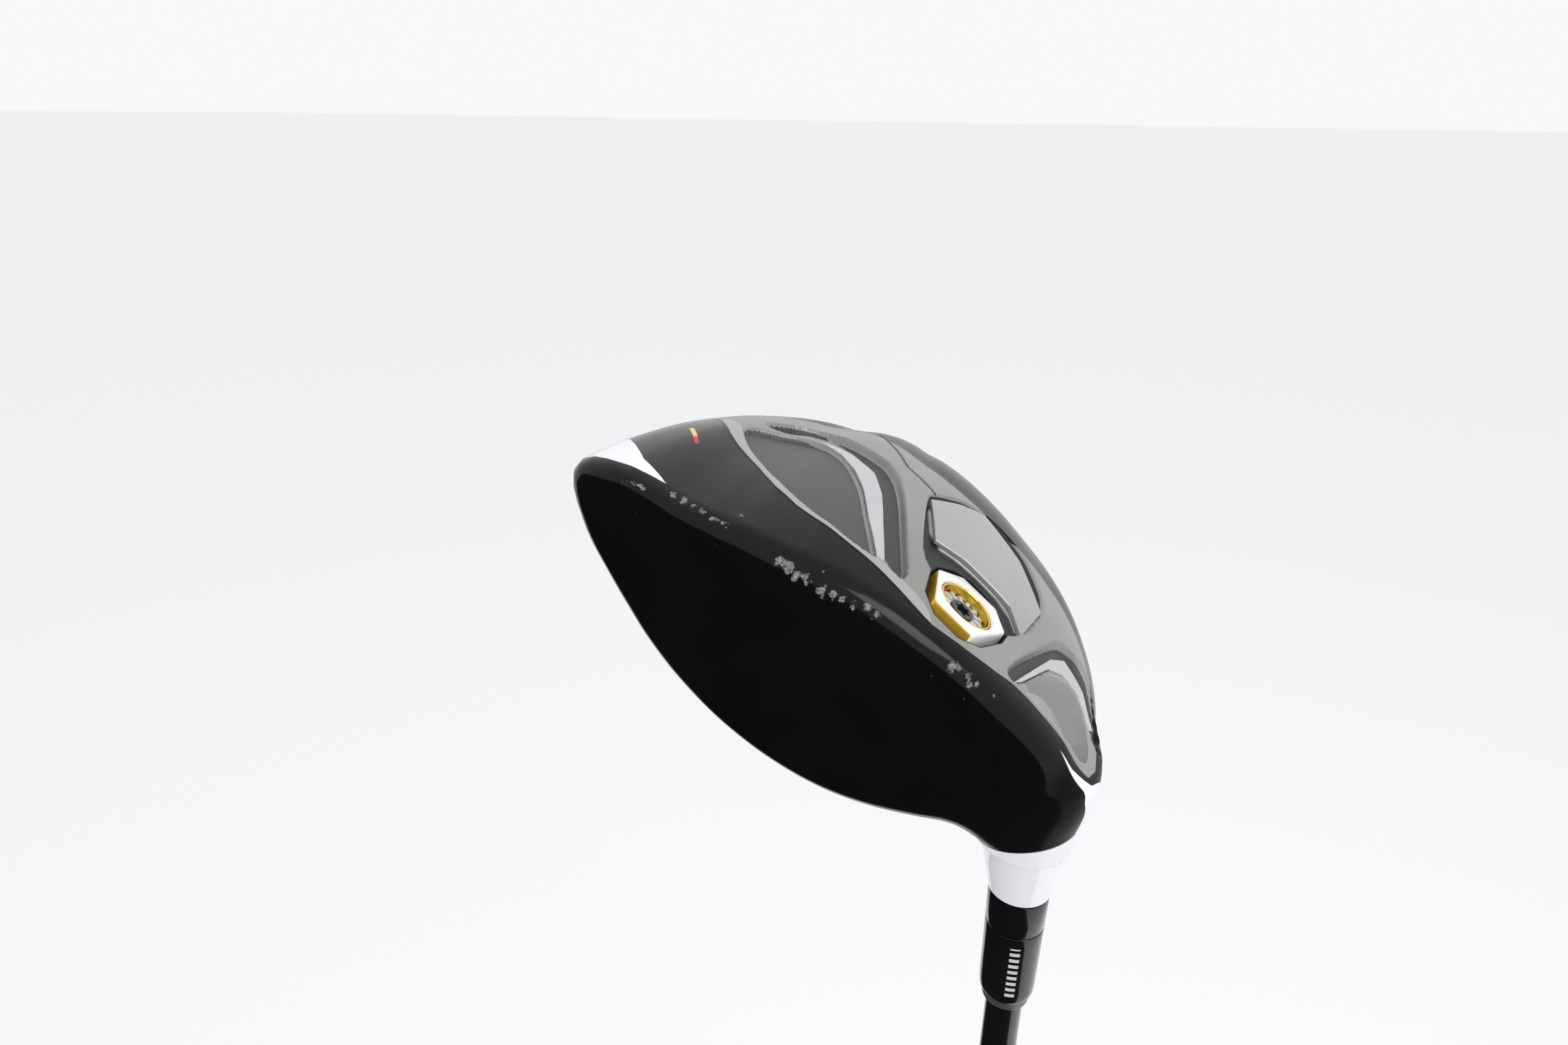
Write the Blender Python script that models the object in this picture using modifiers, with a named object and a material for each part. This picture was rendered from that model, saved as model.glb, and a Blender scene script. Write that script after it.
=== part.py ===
"""Adjustable golf driver, left-handed, held head up.

Units are metres. The shaft axis is the world Z axis, the grip butt is at Z 0 and the head is at the top.
The head is drawn in its address frame, in millimetres: +X to the toe, -Y out of the face, +Z to the crown,
and the ground at Z 0. address_to_row turns that frame into the world frame.
"""

import math

import bmesh
import bpy
import numpy as np
from mathutils import Matrix, Vector

# ---- driving dimensions -------------------------------------------------------------------------
CLUB_LENGTH = 1162.0  # butt to the point where the shaft axis meets the ground
LIE = math.radians(56.93)  # shaft to ground, in the plane of the face
AXIS_X = -34.8  # heel-toe position of that point
FACE_LOFT = math.radians(9.1)
FACE_RADIUS = 307.0  # bulge and roll
FACE_Y = -16.37  # face at its centre height
FACE_CENTRE = (7.4, 29.0)
HEAD_CENTRE = (6.0, 29.0)  # centre of the face outline, toe-heel and height
REAR = (3.8, 91.1, 26.2)  # rearmost point of the head
# radius of the face outline about HEAD_CENTRE every 10 degrees, from the heel round through the sole
FACE_EDGE = np.array([
    59.7, 62.8, 56.2, 45.8, 38.1, 32.4, 28.4, 25.6, 23.8, 22.6, 22.0, 22.1,
    22.6, 24.1, 26.6, 30.2, 36.6, 48.3, 56.7, 51.0, 43.2, 37.8, 34.4, 31.9,
    30.2, 29.1, 28.7, 28.8, 29.4, 30.6, 32.4, 34.9, 38.0, 41.6, 46.0, 52.0,
])
# rearward profile by side: toe, crown, heel, sole
PROFILE_POWER = (2.01, 2.20, 2.04, 2.32)
PROFILE_BULGE = (-0.001, 0.107, 0.087, 0.209)
CORNER_POWER = 0.45  # extra fullness between toe and sole
EDGE_BLEND = 6.0
HOSEL_TOP = 56.3  # along the shaft axis from the ground
HOSEL_R, HOSEL_FLARE = 6.6, 0.2
HOSEL_BLEND = 10.0
SKIN = 1.9  # wall of the cast shell
GAP = 0.3
THREAD_PITCH = 0.8
RAY_FROM = np.array([4.0, 24.0, 28.0])
# sole weight: centre and outward direction in the address frame, turn of the hexagon in its plane
WEIGHT_AT = Vector((-16.7, 1.0, 2.2))
WEIGHT_OUT = Vector((-0.030, 0.050, -0.998)).normalized()
WEIGHT_TURN = math.radians(10.5)
WEIGHT_HEX = [(8.9, 1.8), (4.5, 7.4), (-4.5, 7.4), (-8.9, 1.8), (-4.8, -9.9), (4.8, -9.9)]
WEIGHT_BORE_Y = -1.3
STEPS = 32

BADGE = [(0.4, 28.8), (-4.8, 12.4), (-12.6, 13.4), (-24.8, 11.4), (-29.4, 5.4), (-32.6, 21.3),
         (-24.2, 34.6), (-12.4, 43.0), (-5.9, 37.2)]
TOE_ACCENT = [(30.3, 41.5), (20.4, 35.6), (13.7, 28.0), (9.7, 19.2), (5.7, 6.8), (1.4, -4.9), (3.2, -4.6),
              (9.0, 7.0), (13.3, 17.3), (17.8, 26.6), (22.4, 33.4)]
HEEL_ACCENT = [(-31.4, -8.2), (-37.9, 9.6), (-41.2, 14.2), (-48.2, 12.7), (-54.0, 8.2), (-52.6, 6.4),
               (-47.2, 9.0), (-41.6, 8.7), (-37.9, 5.6), (-33.0, -6.0)]
HEEL_POCKET = [(-33.4, -7.4), (-34.6, -2.0), (-38.6, 4.5), (-42.0, 7.3), (-46.8, 7.6), (-51.9, 4.9),
               (-54.2, 0.0), (-53.6, -4.2), (-47.0, -6.6), (-40.0, -7.4)]
HEEL_SOLE = (-8.44, -0.370, -0.076)  # height of the sole there: at the origin, per unit of X, per unit of Y
HEEL_DEPTH = 5.5


# ---- scene helpers ------------------------------------------------------------------------------
for old in list(bpy.data.objects):
    bpy.data.objects.remove(old, do_unlink=True)
parts = bpy.data.collections.new("club")
tools = bpy.data.collections.new("cutters")
bpy.context.scene.collection.children.link(parts)
bpy.context.scene.collection.children.link(tools)


def address_to_head():
    """Address frame in millimetres to metres from HEAD_AT, along the world's axes."""
    s, c = math.sin(LIE), math.cos(LIE)
    turn = Matrix(((-s, 0, -c, 0), (0, 1, 0, 0), (c, 0, -s, 0), (0, 0, 0, 1)))
    return (Matrix.Translation(Vector((0, 0, CLUB_LENGTH / 1000)) - HEAD_AT) @ Matrix.Scale(0.001, 4) @ turn
            @ Matrix.Translation((-AXIS_X, 0, 0)))


HEAD_AT = Vector((-0.05, 0.02, 1.13))  # origin of the head's own pieces
ROW_TO_HEAD = Matrix.Translation(-HEAD_AT) @ Matrix.Scale(0.001, 4)
TO_HEAD = address_to_head()


def material(name, colour, metallic, roughness):
    made = bpy.data.materials.new(name)
    made.use_nodes = True
    shader = made.node_tree.nodes["Principled BSDF"]
    shader.inputs["Base Color"].default_value = (*colour, 1)
    shader.inputs["Metallic"].default_value = metallic
    shader.inputs["Roughness"].default_value = roughness
    return made


def add(name, mesh, finish=None):
    """An object in the club, or a cutter when it has no finish."""
    obj = bpy.data.objects.new(name, mesh)
    if finish:
        parts.objects.link(obj)
        mesh.materials.clear()
        mesh.materials.append(material(name, *finish))
    else:
        tools.objects.link(obj)
        obj.hide_render = True
        obj.display_type = "WIRE"
    return obj


def boolean(obj, other, operation, use_self=False):
    mod = obj.modifiers.new(f"{operation.lower()} {other.name}"[:60], "BOOLEAN")
    mod.operation = operation
    mod.object = other
    mod.solver = "EXACT"
    mod.use_self = use_self


def turned(name, profile, finish=None, steps=STEPS, matrix=None):
    """A solid of revolution about local Z. The profile is (radius, height) pairs, in order round the section."""
    area = sum(a[0] * b[1] - b[0] * a[1] for a, b in zip(profile, profile[1:] + profile[:1]))
    profile = profile[::-1] if area > 0 else profile
    mesh = bpy.data.meshes.new(name)
    edges = [(i - 1, i) if i else (len(profile) - 1, 0) for i in range(len(profile))]
    edges = [(i, k) for i, k in edges if profile[i][0] > 0 or profile[k][0] > 0]
    mesh.from_pydata([(r / 1000, 0, h / 1000) for r, h in profile], edges, [])
    obj = add(name, mesh, finish)
    mod = obj.modifiers.new("turn", "SCREW")
    mod.axis = "Z"
    mod.angle = 2 * math.pi
    mod.steps = mod.render_steps = steps
    mod.use_merge_vertices = True
    mod.merge_threshold = 1e-6
    mod.use_smooth_shade = False
    if matrix:
        obj.matrix_world = matrix
    return obj


def on_axis(name, profile, finish=None, steps=STEPS):
    """A turned piece on the shaft axis: the profile's heights are distances from the ground. Its origin is
    the first of them."""
    start = profile[0][1]
    obj = turned(name, [(r, start - s) for r, s in profile], finish, steps)
    obj.location = (0, 0, (CLUB_LENGTH - start) / 1000)
    return obj


def prism(name, outline, low, high, to_head, finish=None):
    """A prism over a closed outline in millimetres. Its end heights are numbers or (height, slope X, slope Y)."""
    area = sum(a[0] * b[1] - b[0] * a[1] for a, b in zip(outline, outline[1:] + outline[:1]))
    outline = outline if area > 0 else outline[::-1]
    count = len(outline)
    made = bmesh.new()
    planes = [(h, 0, 0) if isinstance(h, (int, float)) else h for h in (low, high)]
    rows = [[made.verts.new(to_head @ Vector((x, y, h + u * x + v * y))) for x, y in outline] for h, u, v in planes]
    made.faces.new(rows[0][::-1])
    made.faces.new(rows[1])
    for i in range(count):
        k = (i + 1) % count
        made.faces.new((rows[0][i], rows[0][k], rows[1][k], rows[1][i]))
    bmesh.ops.triangulate(made, faces=[f for f in made.faces if len(f.verts) > 4])
    mesh = bpy.data.meshes.new(name)
    made.to_mesh(mesh)
    made.free()
    obj = add(name, mesh, finish)
    obj.location = HEAD_AT
    return obj


def grown(outline, by):
    """The outline moved outwards by a distance."""
    pts = [Vector((*p, 0)) for p in outline]
    area = sum(a.x * b.y - b.x * a.y for a, b in zip(pts, pts[1:] + pts[:1]))
    side = 1 if area > 0 else -1
    made = []
    for i, p in enumerate(pts):
        a = (p - pts[i - 1]).normalized()
        b = (pts[(i + 1) % len(pts)] - p).normalized()
        na, nb = Vector((a.y, -a.x, 0)) * side, Vector((b.y, -b.x, 0)) * side
        mid = (na + nb).normalized()
        made.append(tuple((p + mid * (by / max(mid.dot(na), 0.5)))[:2]))
    return made


# ---- the head's outer surface -------------------------------------------------------------------
def edge_radius(angle):
    """Smooth periodic curve through FACE_EDGE."""
    step = 2 * math.pi / len(FACE_EDGE)
    at = (angle + math.pi) / step
    k = np.floor(at).astype(int)
    t = at - k
    p0, p1, p2, p3 = (FACE_EDGE[(k + i) % len(FACE_EDGE)] for i in (-1, 0, 1, 2))
    return p1 + 0.5 * t * (p2 - p0 + t * (2 * p0 - 5 * p1 + 4 * p2 - p3 + t * (3 * (p1 - p2) + p3 - p0)))


def face_y(x, z):
    dx, dz = x - FACE_CENTRE[0], z - FACE_CENTRE[1]
    return FACE_Y + (dx * dx + dz * dz) / (2 * FACE_RADIUS) + math.tan(FACE_LOFT) * dz


def by_side(angle, values):
    toe, crown, heel, sole = values
    c, s = np.cos(angle), np.sin(angle)
    return np.where(c > 0, toe, heel) * c * c + np.where(s > 0, crown, sole) * s * s


def body_and_face(p):
    """Signed fields of the rearward body and of the face surface, below 0 inside."""
    x, y, z = p[..., 0], p[..., 1], p[..., 2]
    t = np.clip((y + 12) / (REAR[1] + 12), 0, 1) ** 1.55
    cx = HEAD_CENTRE[0] + (REAR[0] - HEAD_CENTRE[0]) * t
    cz = HEAD_CENTRE[1] + (REAR[2] - HEAD_CENTRE[1]) * t
    angle = np.arctan2(z - cz, x - cx)
    edge = edge_radius(angle)
    start = face_y(HEAD_CENTRE[0] + edge * np.cos(angle), HEAD_CENTRE[1] + edge * np.sin(angle))
    t = (y - start) / (REAR[1] - start)
    corner = np.where((np.sin(angle) < 0) & (np.cos(angle) > 0), np.sin(2 * angle) ** 2, 0)
    power, bulge = by_side(angle, PROFILE_POWER) + CORNER_POWER * corner, by_side(angle, PROFILE_BULGE)
    inside = np.clip(t, 0, 0.9999)
    reach = (1 - inside**power) ** (1 / power) * (1 + 4 * bulge * inside * (1 - inside))
    reach = np.where(t < 0, 1 + 4 * bulge * np.maximum(t, -0.1), reach)
    return (np.hypot(z - cz, x - cx) - edge * reach) * 0.8, (face_y(x, z) - y) * 0.98


def head_field(p, top=44.0):
    """Below 0 inside the head: body and face with a rounded edge, flaring into the hosel."""
    body, face = body_and_face(p)
    near = np.maximum(EDGE_BLEND - np.abs(body - face), 0)
    solid = np.maximum(body, face) + near**2 / (4 * EDGE_BLEND)
    solid = np.maximum(solid, p[..., 1] - REAR[1])
    up = np.array([-math.cos(LIE), 0, math.sin(LIE)])
    q = p - np.array([AXIS_X, 0, 0])
    s = q @ up
    off = np.sqrt(np.maximum((q**2).sum(-1) - s**2, 0))
    hosel = off - HOSEL_R - np.clip((HOSEL_TOP - s) * HOSEL_FLARE, 0, 3.5)
    hosel = np.maximum(np.maximum(hosel, s - top), 26 - s)
    near = np.maximum(HOSEL_BLEND - np.abs(solid - hosel), 0)
    return np.minimum(solid, hosel) - near**2 / (4 * HOSEL_BLEND)


def cast(start, directions, field):
    """Where rays from inside leave the field's zero surface."""
    low, high = np.zeros(len(directions)), np.full(len(directions), 140.0)
    for _ in range(24):
        mid = (low + high) / 2
        out = field(start + directions * mid[:, None]) > 0
        high, low = np.where(out, mid, high), np.where(out, low, mid)
    return start + directions * ((low + high) / 2)[:, None]


def normals(p, field):
    h = 0.05
    g = np.stack([field(p + h * e) - field(p - h * e) for e in np.eye(3)], -1)
    return g / np.linalg.norm(g, axis=1, keepdims=True)


def plain_field(p):
    body, face = body_and_face(p)
    return np.maximum(body, face)


def skin_points():
    """Grid of points on the head: rings round the -Y axis, close together at the face's edge and hosel."""
    fine = math.radians(3.5)
    turn = np.concatenate([np.arange(-168, 150, 6.5), np.arange(150, 191, 3.7)]) * math.pi / 180
    spread = np.linspace(0.2, 1.4, 90)
    grid = np.stack(np.meshgrid(turn, spread, indexing="ij"), -1).reshape(-1, 2)
    rays = np.stack([np.sin(grid[:, 1]) * np.cos(grid[:, 0]), -np.cos(grid[:, 1]),
                     np.sin(grid[:, 1]) * np.sin(grid[:, 0])], -1)
    body, face = body_and_face(cast(RAY_FROM, rays, plain_field))
    at_edge = (body > face).reshape(len(turn), -1).argmax(1)
    edge = spread[at_edge]
    rows = [edge * k / 4 for k in (1, 2, 3)] + [edge + fine * k for k in (-1.6, -0.7, 0.0, 0.8, 1.8)]
    rows += [edge + 1.8 * fine + (math.pi - 0.05 - edge - 1.8 * fine) * k**1.1 for k in np.linspace(0, 1, 20)[1:]]
    spread = np.stack(rows)
    rays = np.stack([np.sin(spread) * np.cos(turn), -np.cos(spread), np.sin(spread) * np.sin(turn)], -1)
    rays = np.concatenate([[[0, -1, 0]], rays.reshape(-1, 3), [[0, 1, 0]]])
    return cast(RAY_FROM, rays, head_field), len(turn), len(rows)


SKIN_POINTS, AROUND, ROWS = skin_points()
SKIN_NORMALS = normals(SKIN_POINTS, head_field)


def skin(name, depth, finish=None):
    """The head as a solid, its surface moved in by depth."""
    pts = SKIN_POINTS - SKIN_NORMALS * depth
    last = 1 + AROUND * ROWS
    faces = []
    for i in range(AROUND):
        k = (i + 1) % AROUND
        faces.append((0, 1 + i, 1 + k))
        for row in range(ROWS - 1):
            a = 1 + row * AROUND
            faces.append((a + i, a + AROUND + i, a + AROUND + k, a + k))
        a = 1 + (ROWS - 1) * AROUND
        faces.append((a + k, a + i, last))
    mesh = bpy.data.meshes.new(name)
    mesh.from_pydata([TO_HEAD @ Vector(p) for p in pts], [], faces)
    made = bmesh.new()
    made.from_mesh(mesh)
    bmesh.ops.triangulate(made, faces=made.faces)
    bmesh.ops.recalc_face_normals(made, faces=made.faces)
    made.to_mesh(mesh)
    made.free()
    obj = add(name, mesh, finish)
    obj.location = HEAD_AT
    return obj


under = {d: skin(f"skin_under_{int(10 * d)}", d) for d in (0.7, 0.8, 1.0, SKIN, 2.6)}


def skin_piece(name, outline, low, high, depth, to_head, finish):
    """The part of the head's skin over an outline, as thick as depth."""
    obj = skin(name, 0.0, finish)
    boolean(obj, prism(f"{name}_outline", outline, low, high, to_head), "INTERSECT")
    boolean(obj, under[depth], "DIFFERENCE")
    return obj


def recess(obj, name, outline, low, high, depth, to_head):
    cutter = prism(name, outline, low, high, to_head)
    boolean(cutter, under[depth], "DIFFERENCE")
    boolean(obj, cutter, "DIFFERENCE")


# ---- shaft, grip and loft sleeve ----------------------------------------------------------------
SHAFT_R = [(7.65, 4.2), (7.05, 270.0), (5.5, 700.0), (4.4, 960.0), (4.1, 1060.0), (4.1, CLUB_LENGTH - 42.2)]


def shaft_r(height):
    return float(np.interp(height, [h for _, h in SHAFT_R], [r for r, _ in SHAFT_R]))


RUBBER, CARBON = ((0.03, 0.03, 0.032), 0.0, 0.75), ((0.012, 0.012, 0.014), 0.0, 0.2)
turned("grip_cap", [(0, 0), (13.2, 0), (13.9, 0.7), (13.9, 3.4), (0, 3.4)], RUBBER)
GRIP_OUT = [(13.9, 3.7), (13.8, 18), (13.0, 60), (11.7, 125), (10.4, 195), (9.3, 255), (9.0, 266), (8.5, 268)]
turned("grip", [(shaft_r(4) + 0.62, 3.7)] + GRIP_OUT + [(shaft_r(268) + 0.62, 268)], RUBBER)
turned("grip_tape", [(shaft_r(6) + 0.16, 6), (shaft_r(6) + 0.46, 6), (shaft_r(262) + 0.46, 262),
                     (shaft_r(262) + 0.16, 262)], ((0.75, 0.7, 0.58), 0.0, 0.8))
WALL = [1.15, 1.15, 1.1, 1.1, 1.1, 1.1]
turned("shaft", SHAFT_R + [(r - w, h) for (r, h), w in zip(SHAFT_R[::-1], WALL)], CARBON)
turned("shaft_tip_plug", [(0, CLUB_LENGTH - 56), (2.7, CLUB_LENGTH - 56), (2.7, CLUB_LENGTH - 44),
                          (0, CLUB_LENGTH - 44)], ((0.7, 0.55, 0.3), 0.0, 0.8), steps=20)
BLACK = ((0.008, 0.008, 0.009), 0.0, 0.12)
on_axis("ferrule_ring", [(4.4, 85.2), (4.4, 87.2), (4.9, 87.2), (5.2, 86.9), (5.2, 85.2)],
        ((0.45, 0.45, 0.47), 0.6, 0.35))
on_axis("ferrule", [(4.4, 65.5), (4.4, 84.9), (5.4, 84.9), (5.95, 84.0), (6.1, 82.4), (6.35, 65.5)], BLACK)
sleeve = on_axis("loft_sleeve", [(0, 31.0), (0, 65.2), (6.4, 65.2), (6.45, 56.7), (5.5, 56.7), (5.45, 33.0),
                                 (4.6, 31.0)], BLACK)


def spline_outline(root, tip):
    """Twelve flat-topped keys round a circle."""
    outline = []
    for i in range(12):
        for share, r in ((-0.30, root), (-0.20, tip), (0.20, tip), (0.30, root)):
            a = 2 * math.pi * (i + share) / 12
            outline.append((r * math.cos(a), r * math.sin(a)))
    return outline


keys = prism("sleeve_keys", spline_outline(4.8, 5.95), CLUB_LENGTH - 56.9, CLUB_LENGTH - 54.2, ROW_TO_HEAD)
boolean(sleeve, keys, "UNION", use_self=True)
boolean(sleeve, on_axis("sleeve_bore", [(0, 30.0), (0, 66.0), (4.4, 66.0), (4.4, 41.3), (3.2, 41.3), (2.45, 40.5),
                                        (2.45, 30.0)]), "DIFFERENCE")

# ---- head ---------------------------------------------------------------------------------------
HEAD_WHITE = ((0.8, 0.8, 0.82), 0.0, 0.25)
body = skin("head_body", 0.0, ((0.35, 0.35, 0.36), 0.3, 0.35))
boolean(body, under[SKIN], "DIFFERENCE")
hosel = on_axis("hosel_cone", [(0, 33.0), (0, HOSEL_TOP), (HOSEL_R, HOSEL_TOP), (7.4, 51.5), (8.5, 46.6), (8.2, 43.0),
                               (7.4, 33.0)])
tube = on_axis("hosel_tube", [(0, 2.0), (0, 40.0), (7.2, 40.0), (7.2, 2.0)])
boolean(tube, under[0.8], "INTERSECT")
boolean(tube, hosel, "UNION")
boolean(body, tube, "UNION")

WEIGHT_X = (Vector((1, 0, 0)) - WEIGHT_OUT * WEIGHT_OUT.x).normalized()
WEIGHT_Y = WEIGHT_OUT.cross(WEIGHT_X) * -1
WEIGHT_X, WEIGHT_Y = (WEIGHT_X * math.cos(WEIGHT_TURN) + WEIGHT_Y * math.sin(WEIGHT_TURN),
                      WEIGHT_Y * math.cos(WEIGHT_TURN) - WEIGHT_X * math.sin(WEIGHT_TURN))
HEX_TO_HEAD = TO_HEAD @ Matrix((
    (WEIGHT_X.x, WEIGHT_Y.x, -WEIGHT_OUT.x, WEIGHT_AT.x), (WEIGHT_X.y, WEIGHT_Y.y, -WEIGHT_OUT.y, WEIGHT_AT.y),
    (WEIGHT_X.z, WEIGHT_Y.z, -WEIGHT_OUT.z, WEIGHT_AT.z), (0, 0, 0, 1)))
cup = prism("weight_cup", grown(WEIGHT_HEX, 3.2), -3.0, 7.6, HEX_TO_HEAD)
boolean(cup, under[0.8], "INTERSECT")
boolean(body, cup, "UNION")
boolean(body, prism("weight_pocket", grown(WEIGHT_HEX, 1.7), -12.0, 6.0, HEX_TO_HEAD), "DIFFERENCE")

heel_floor = (HEEL_SOLE[0] + HEEL_DEPTH, *HEEL_SOLE[1:])
pan = prism("heel_pan", grown(HEEL_POCKET, 1.5), -30, (heel_floor[0] + 1.8, *HEEL_SOLE[1:]), TO_HEAD)
boolean(pan, under[0.8], "INTERSECT")
boolean(body, pan, "UNION")
boolean(body, prism("heel_pocket", HEEL_POCKET, -31, heel_floor, TO_HEAD), "DIFFERENCE")
boolean(body, on_axis("screw_port", [(0, 10.0), (0, 21.0), (4.0, 21.0), (4.0, 10.0)]), "DIFFERENCE")
boolean(body, on_axis("screw_hole", [(0, 19.4), (0, 24.4), (2.9, 24.4), (2.9, 19.4)]), "DIFFERENCE")
boolean(body, on_axis("hosel_bore", [(0, 23.2), (0, 54.0), (5.75, 54.0), (5.75, 23.2)]), "DIFFERENCE")
boolean(body, prism("hosel_keyways", spline_outline(5.9, 6.25), CLUB_LENGTH - 58.0, CLUB_LENGTH - 53.6, ROW_TO_HEAD),
        "DIFFERENCE")

# face plate
around = np.linspace(-math.pi, math.pi, 40, endpoint=False)
face_reach = np.minimum(edge_radius(around) * 0.86, 44 / np.maximum(-np.cos(around), 0.2))
face_outline = [(HEAD_CENTRE[0] + r * math.cos(a), HEAD_CENTRE[1] + r * math.sin(a))
                for a, r in zip(around, face_reach)]
FACE_TO_HEAD = TO_HEAD @ Matrix(((1, 0, 0, 0), (0, 0, -1, 0), (0, 1, 0, 0), (0, 0, 0, 1)))
skin_piece("face_plate", face_outline, 6.8, 60, 2.6, FACE_TO_HEAD, ((0.006, 0.006, 0.007), 0.0, 0.08))
boolean(body, prism("face_opening", grown(face_outline, GAP), 6.6, 61, FACE_TO_HEAD), "DIFFERENCE")

# crown panel on its ledge
around = np.linspace(-math.pi, math.pi, 44, endpoint=False)
level = cast(np.array([4.0, 36.0, 42.0]), np.stack([np.cos(around), np.sin(around), 0 * around], -1), plain_field)
level = [(4 + (x - 4) * 0.9, 36 + (y - 36) * 0.9) for x, y, _ in level]


def crown_outline(by, front):
    """The crown's outline moved outwards, and cut off straight along the front."""
    pts, kept = grown(level, by), []
    for (ax, ay), (bx, by_) in zip(pts, pts[1:] + pts[:1]):
        if ay >= front:
            kept.append((ax, ay))
        if (ay >= front) != (by_ >= front):
            kept.append((ax + (bx - ax) * (front - ay) / (by_ - ay), front))
    return kept


skin_piece("crown_panel", crown_outline(0.0, 8.0), 30, 90, 0.7, TO_HEAD, ((0.01, 0.01, 0.011), 0.0, 0.15))
recess(body, "crown_recess", crown_outline(GAP, 7.7), 31, 91, 1.0, TO_HEAD)
boolean(body, prism("crown_opening", crown_outline(-5.0, 13.0), 33, 92, TO_HEAD), "DIFFERENCE")

# bonded pieces of the sole
SATIN, SILVER = ((0.36, 0.36, 0.37), 0.4, 0.35), ((0.75, 0.76, 0.78), 0.6, 0.3)
for name, outline, finish in (("sole_badge", BADGE, SATIN), ("toe_accent", TOE_ACCENT, SILVER),
                              ("heel_accent", HEEL_ACCENT, SILVER)):
    skin_piece(name, outline, -25, 22, 0.7, TO_HEAD, finish)
    recess(body, f"{name}_recess", grown(outline, GAP), -26, 23, 1.0, TO_HEAD)

# ---- hosel screw, in the head -------------------------------------------------------------------
STEEL = ((0.55, 0.56, 0.58), 1.0, 0.3)
screw = on_axis("hosel_screw", [(0, 16.4), (0, 39.5), (2.0, 39.5), (2.2, 39.0), (2.2, 20.0), (3.6, 20.0), (3.6, 16.8),
                                (3.3, 16.4)], STEEL)
boolean(screw, prism("screw_socket", [(1.9 * math.cos(a), 1.9 * math.sin(a)) for a in np.arange(6) * math.pi / 3],
                     CLUB_LENGTH - 18.9, CLUB_LENGTH - 12.0, ROW_TO_HEAD), "DIFFERENCE")
on_axis("hosel_washer", [(2.5, 20.25), (2.5, 20.75), (3.7, 20.75), (3.7, 20.25)], STEEL, steps=24)
on_axis("screw_retainer", [(2.5, 23.5), (2.5, 24.5), (5.4, 24.5), (5.4, 23.5)], ((0.05, 0.05, 0.05), 0.0, 0.5))

# ---- sole weight --------------------------------------------------------------------------------
# the weight's own frame: local Z points out of the sole, on the axis of its screw
WEIGHT_TO_HEAD = HEX_TO_HEAD @ Matrix.Translation((0, WEIGHT_BORE_Y, 0)) @ Matrix.Rotation(math.pi, 4, "X")
WEIGHT_FRAME = Matrix.LocRotScale(HEAD_AT + WEIGHT_TO_HEAD.translation, WEIGHT_TO_HEAD.to_quaternion(), None)


def weight_turned(name, profile, finish=None, steps=STEPS):
    return turned(name, profile, finish, steps, WEIGHT_FRAME)


hex_mesh = bmesh.new()
rows = []
for outline, h in ((grown(WEIGHT_HEX, 0.9), 5.6), (grown(WEIGHT_HEX, 0.1), 0.25), (grown(WEIGHT_HEX, -0.15), 0.0)):
    rows.append([hex_mesh.verts.new(Matrix.Scale(0.001, 4) @ Vector((x, WEIGHT_BORE_Y - y, -h))) for x, y in outline])
hex_mesh.faces.new(rows[0])
hex_mesh.faces.new(rows[2])
for low, high in zip(rows, rows[1:]):
    for i in range(6):
        hex_mesh.faces.new((low[i], low[(i + 1) % 6], high[(i + 1) % 6], high[i]))
bmesh.ops.recalc_face_normals(hex_mesh, faces=hex_mesh.faces)
housing_mesh = bpy.data.meshes.new("weight_housing")
hex_mesh.to_mesh(housing_mesh)
hex_mesh.free()
housing = add("weight_housing", housing_mesh, HEAD_WHITE)
housing.matrix_world = WEIGHT_FRAME
boolean(housing, weight_turned("housing_bore", [(0, -3.6), (6.1, -3.6), (6.1, 2), (0, 2)]), "DIFFERENCE")
boolean(housing, weight_turned("housing_hole", [(0, -7), (2.6, -7), (2.6, -3), (0, -3)]), "DIFFERENCE")
boolean(housing, weight_turned("housing_clip_room", [(0, -7), (3.9, -7), (3.9, -4.5), (0, -4.5)]), "DIFFERENCE")
weight_turned("weight_ring", [(5.5, -3.3), (5.85, -3.3), (5.85, -0.3), (5.5, -0.3)], ((0.8, 0.6, 0.1), 1.0, 0.2))
disc = weight_turned("weight_screw", [(0, -13), (2.0, -13), (2.2, -12.8), (2.2, -3.3), (5.2, -3.3), (5.2, -1.9),
                                      (4.9, -1.6), (2.7, -1.6), (2.7, -1.4), (0, -1.4)], STEEL)
socket = prism("weight_socket", [(1.9 * math.cos(a), 1.9 * math.sin(a)) for a in np.arange(6) * math.pi / 3],
               -2.6, 1, WEIGHT_TO_HEAD)
boolean(disc, socket, "DIFFERENCE")
weight_turned("weight_clip", [(2.45, -5.3), (3.6, -5.3), (3.6, -4.8), (2.45, -4.8)], STEEL, steps=24)
weight_turned("weight_insert", [(2.5, -14), (4.0, -14), (4.0, -9.2), (5.6, -9.2), (5.6, -7.9), (4.0, -7.9), (4.0, -6),
                                (2.5, -6)], STEEL)
boolean(body, weight_turned("insert_hole", [(0, -9), (4.3, -9), (4.3, -5), (0, -5)]), "DIFFERENCE")
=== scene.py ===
"""Looks for the golf driver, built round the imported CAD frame.

The head is drawn in its address frame, in millimetres: +X to the toe, -Y out of the face, +Z to the crown,
with the ground at Z 0. Pieces of the head keep their vertices in metres from HEAD_AT.
"""

import math

import bmesh
import bpy
import numpy as np
from mathutils import Matrix, Vector
from mathutils.geometry import delaunay_2d_cdt


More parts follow.
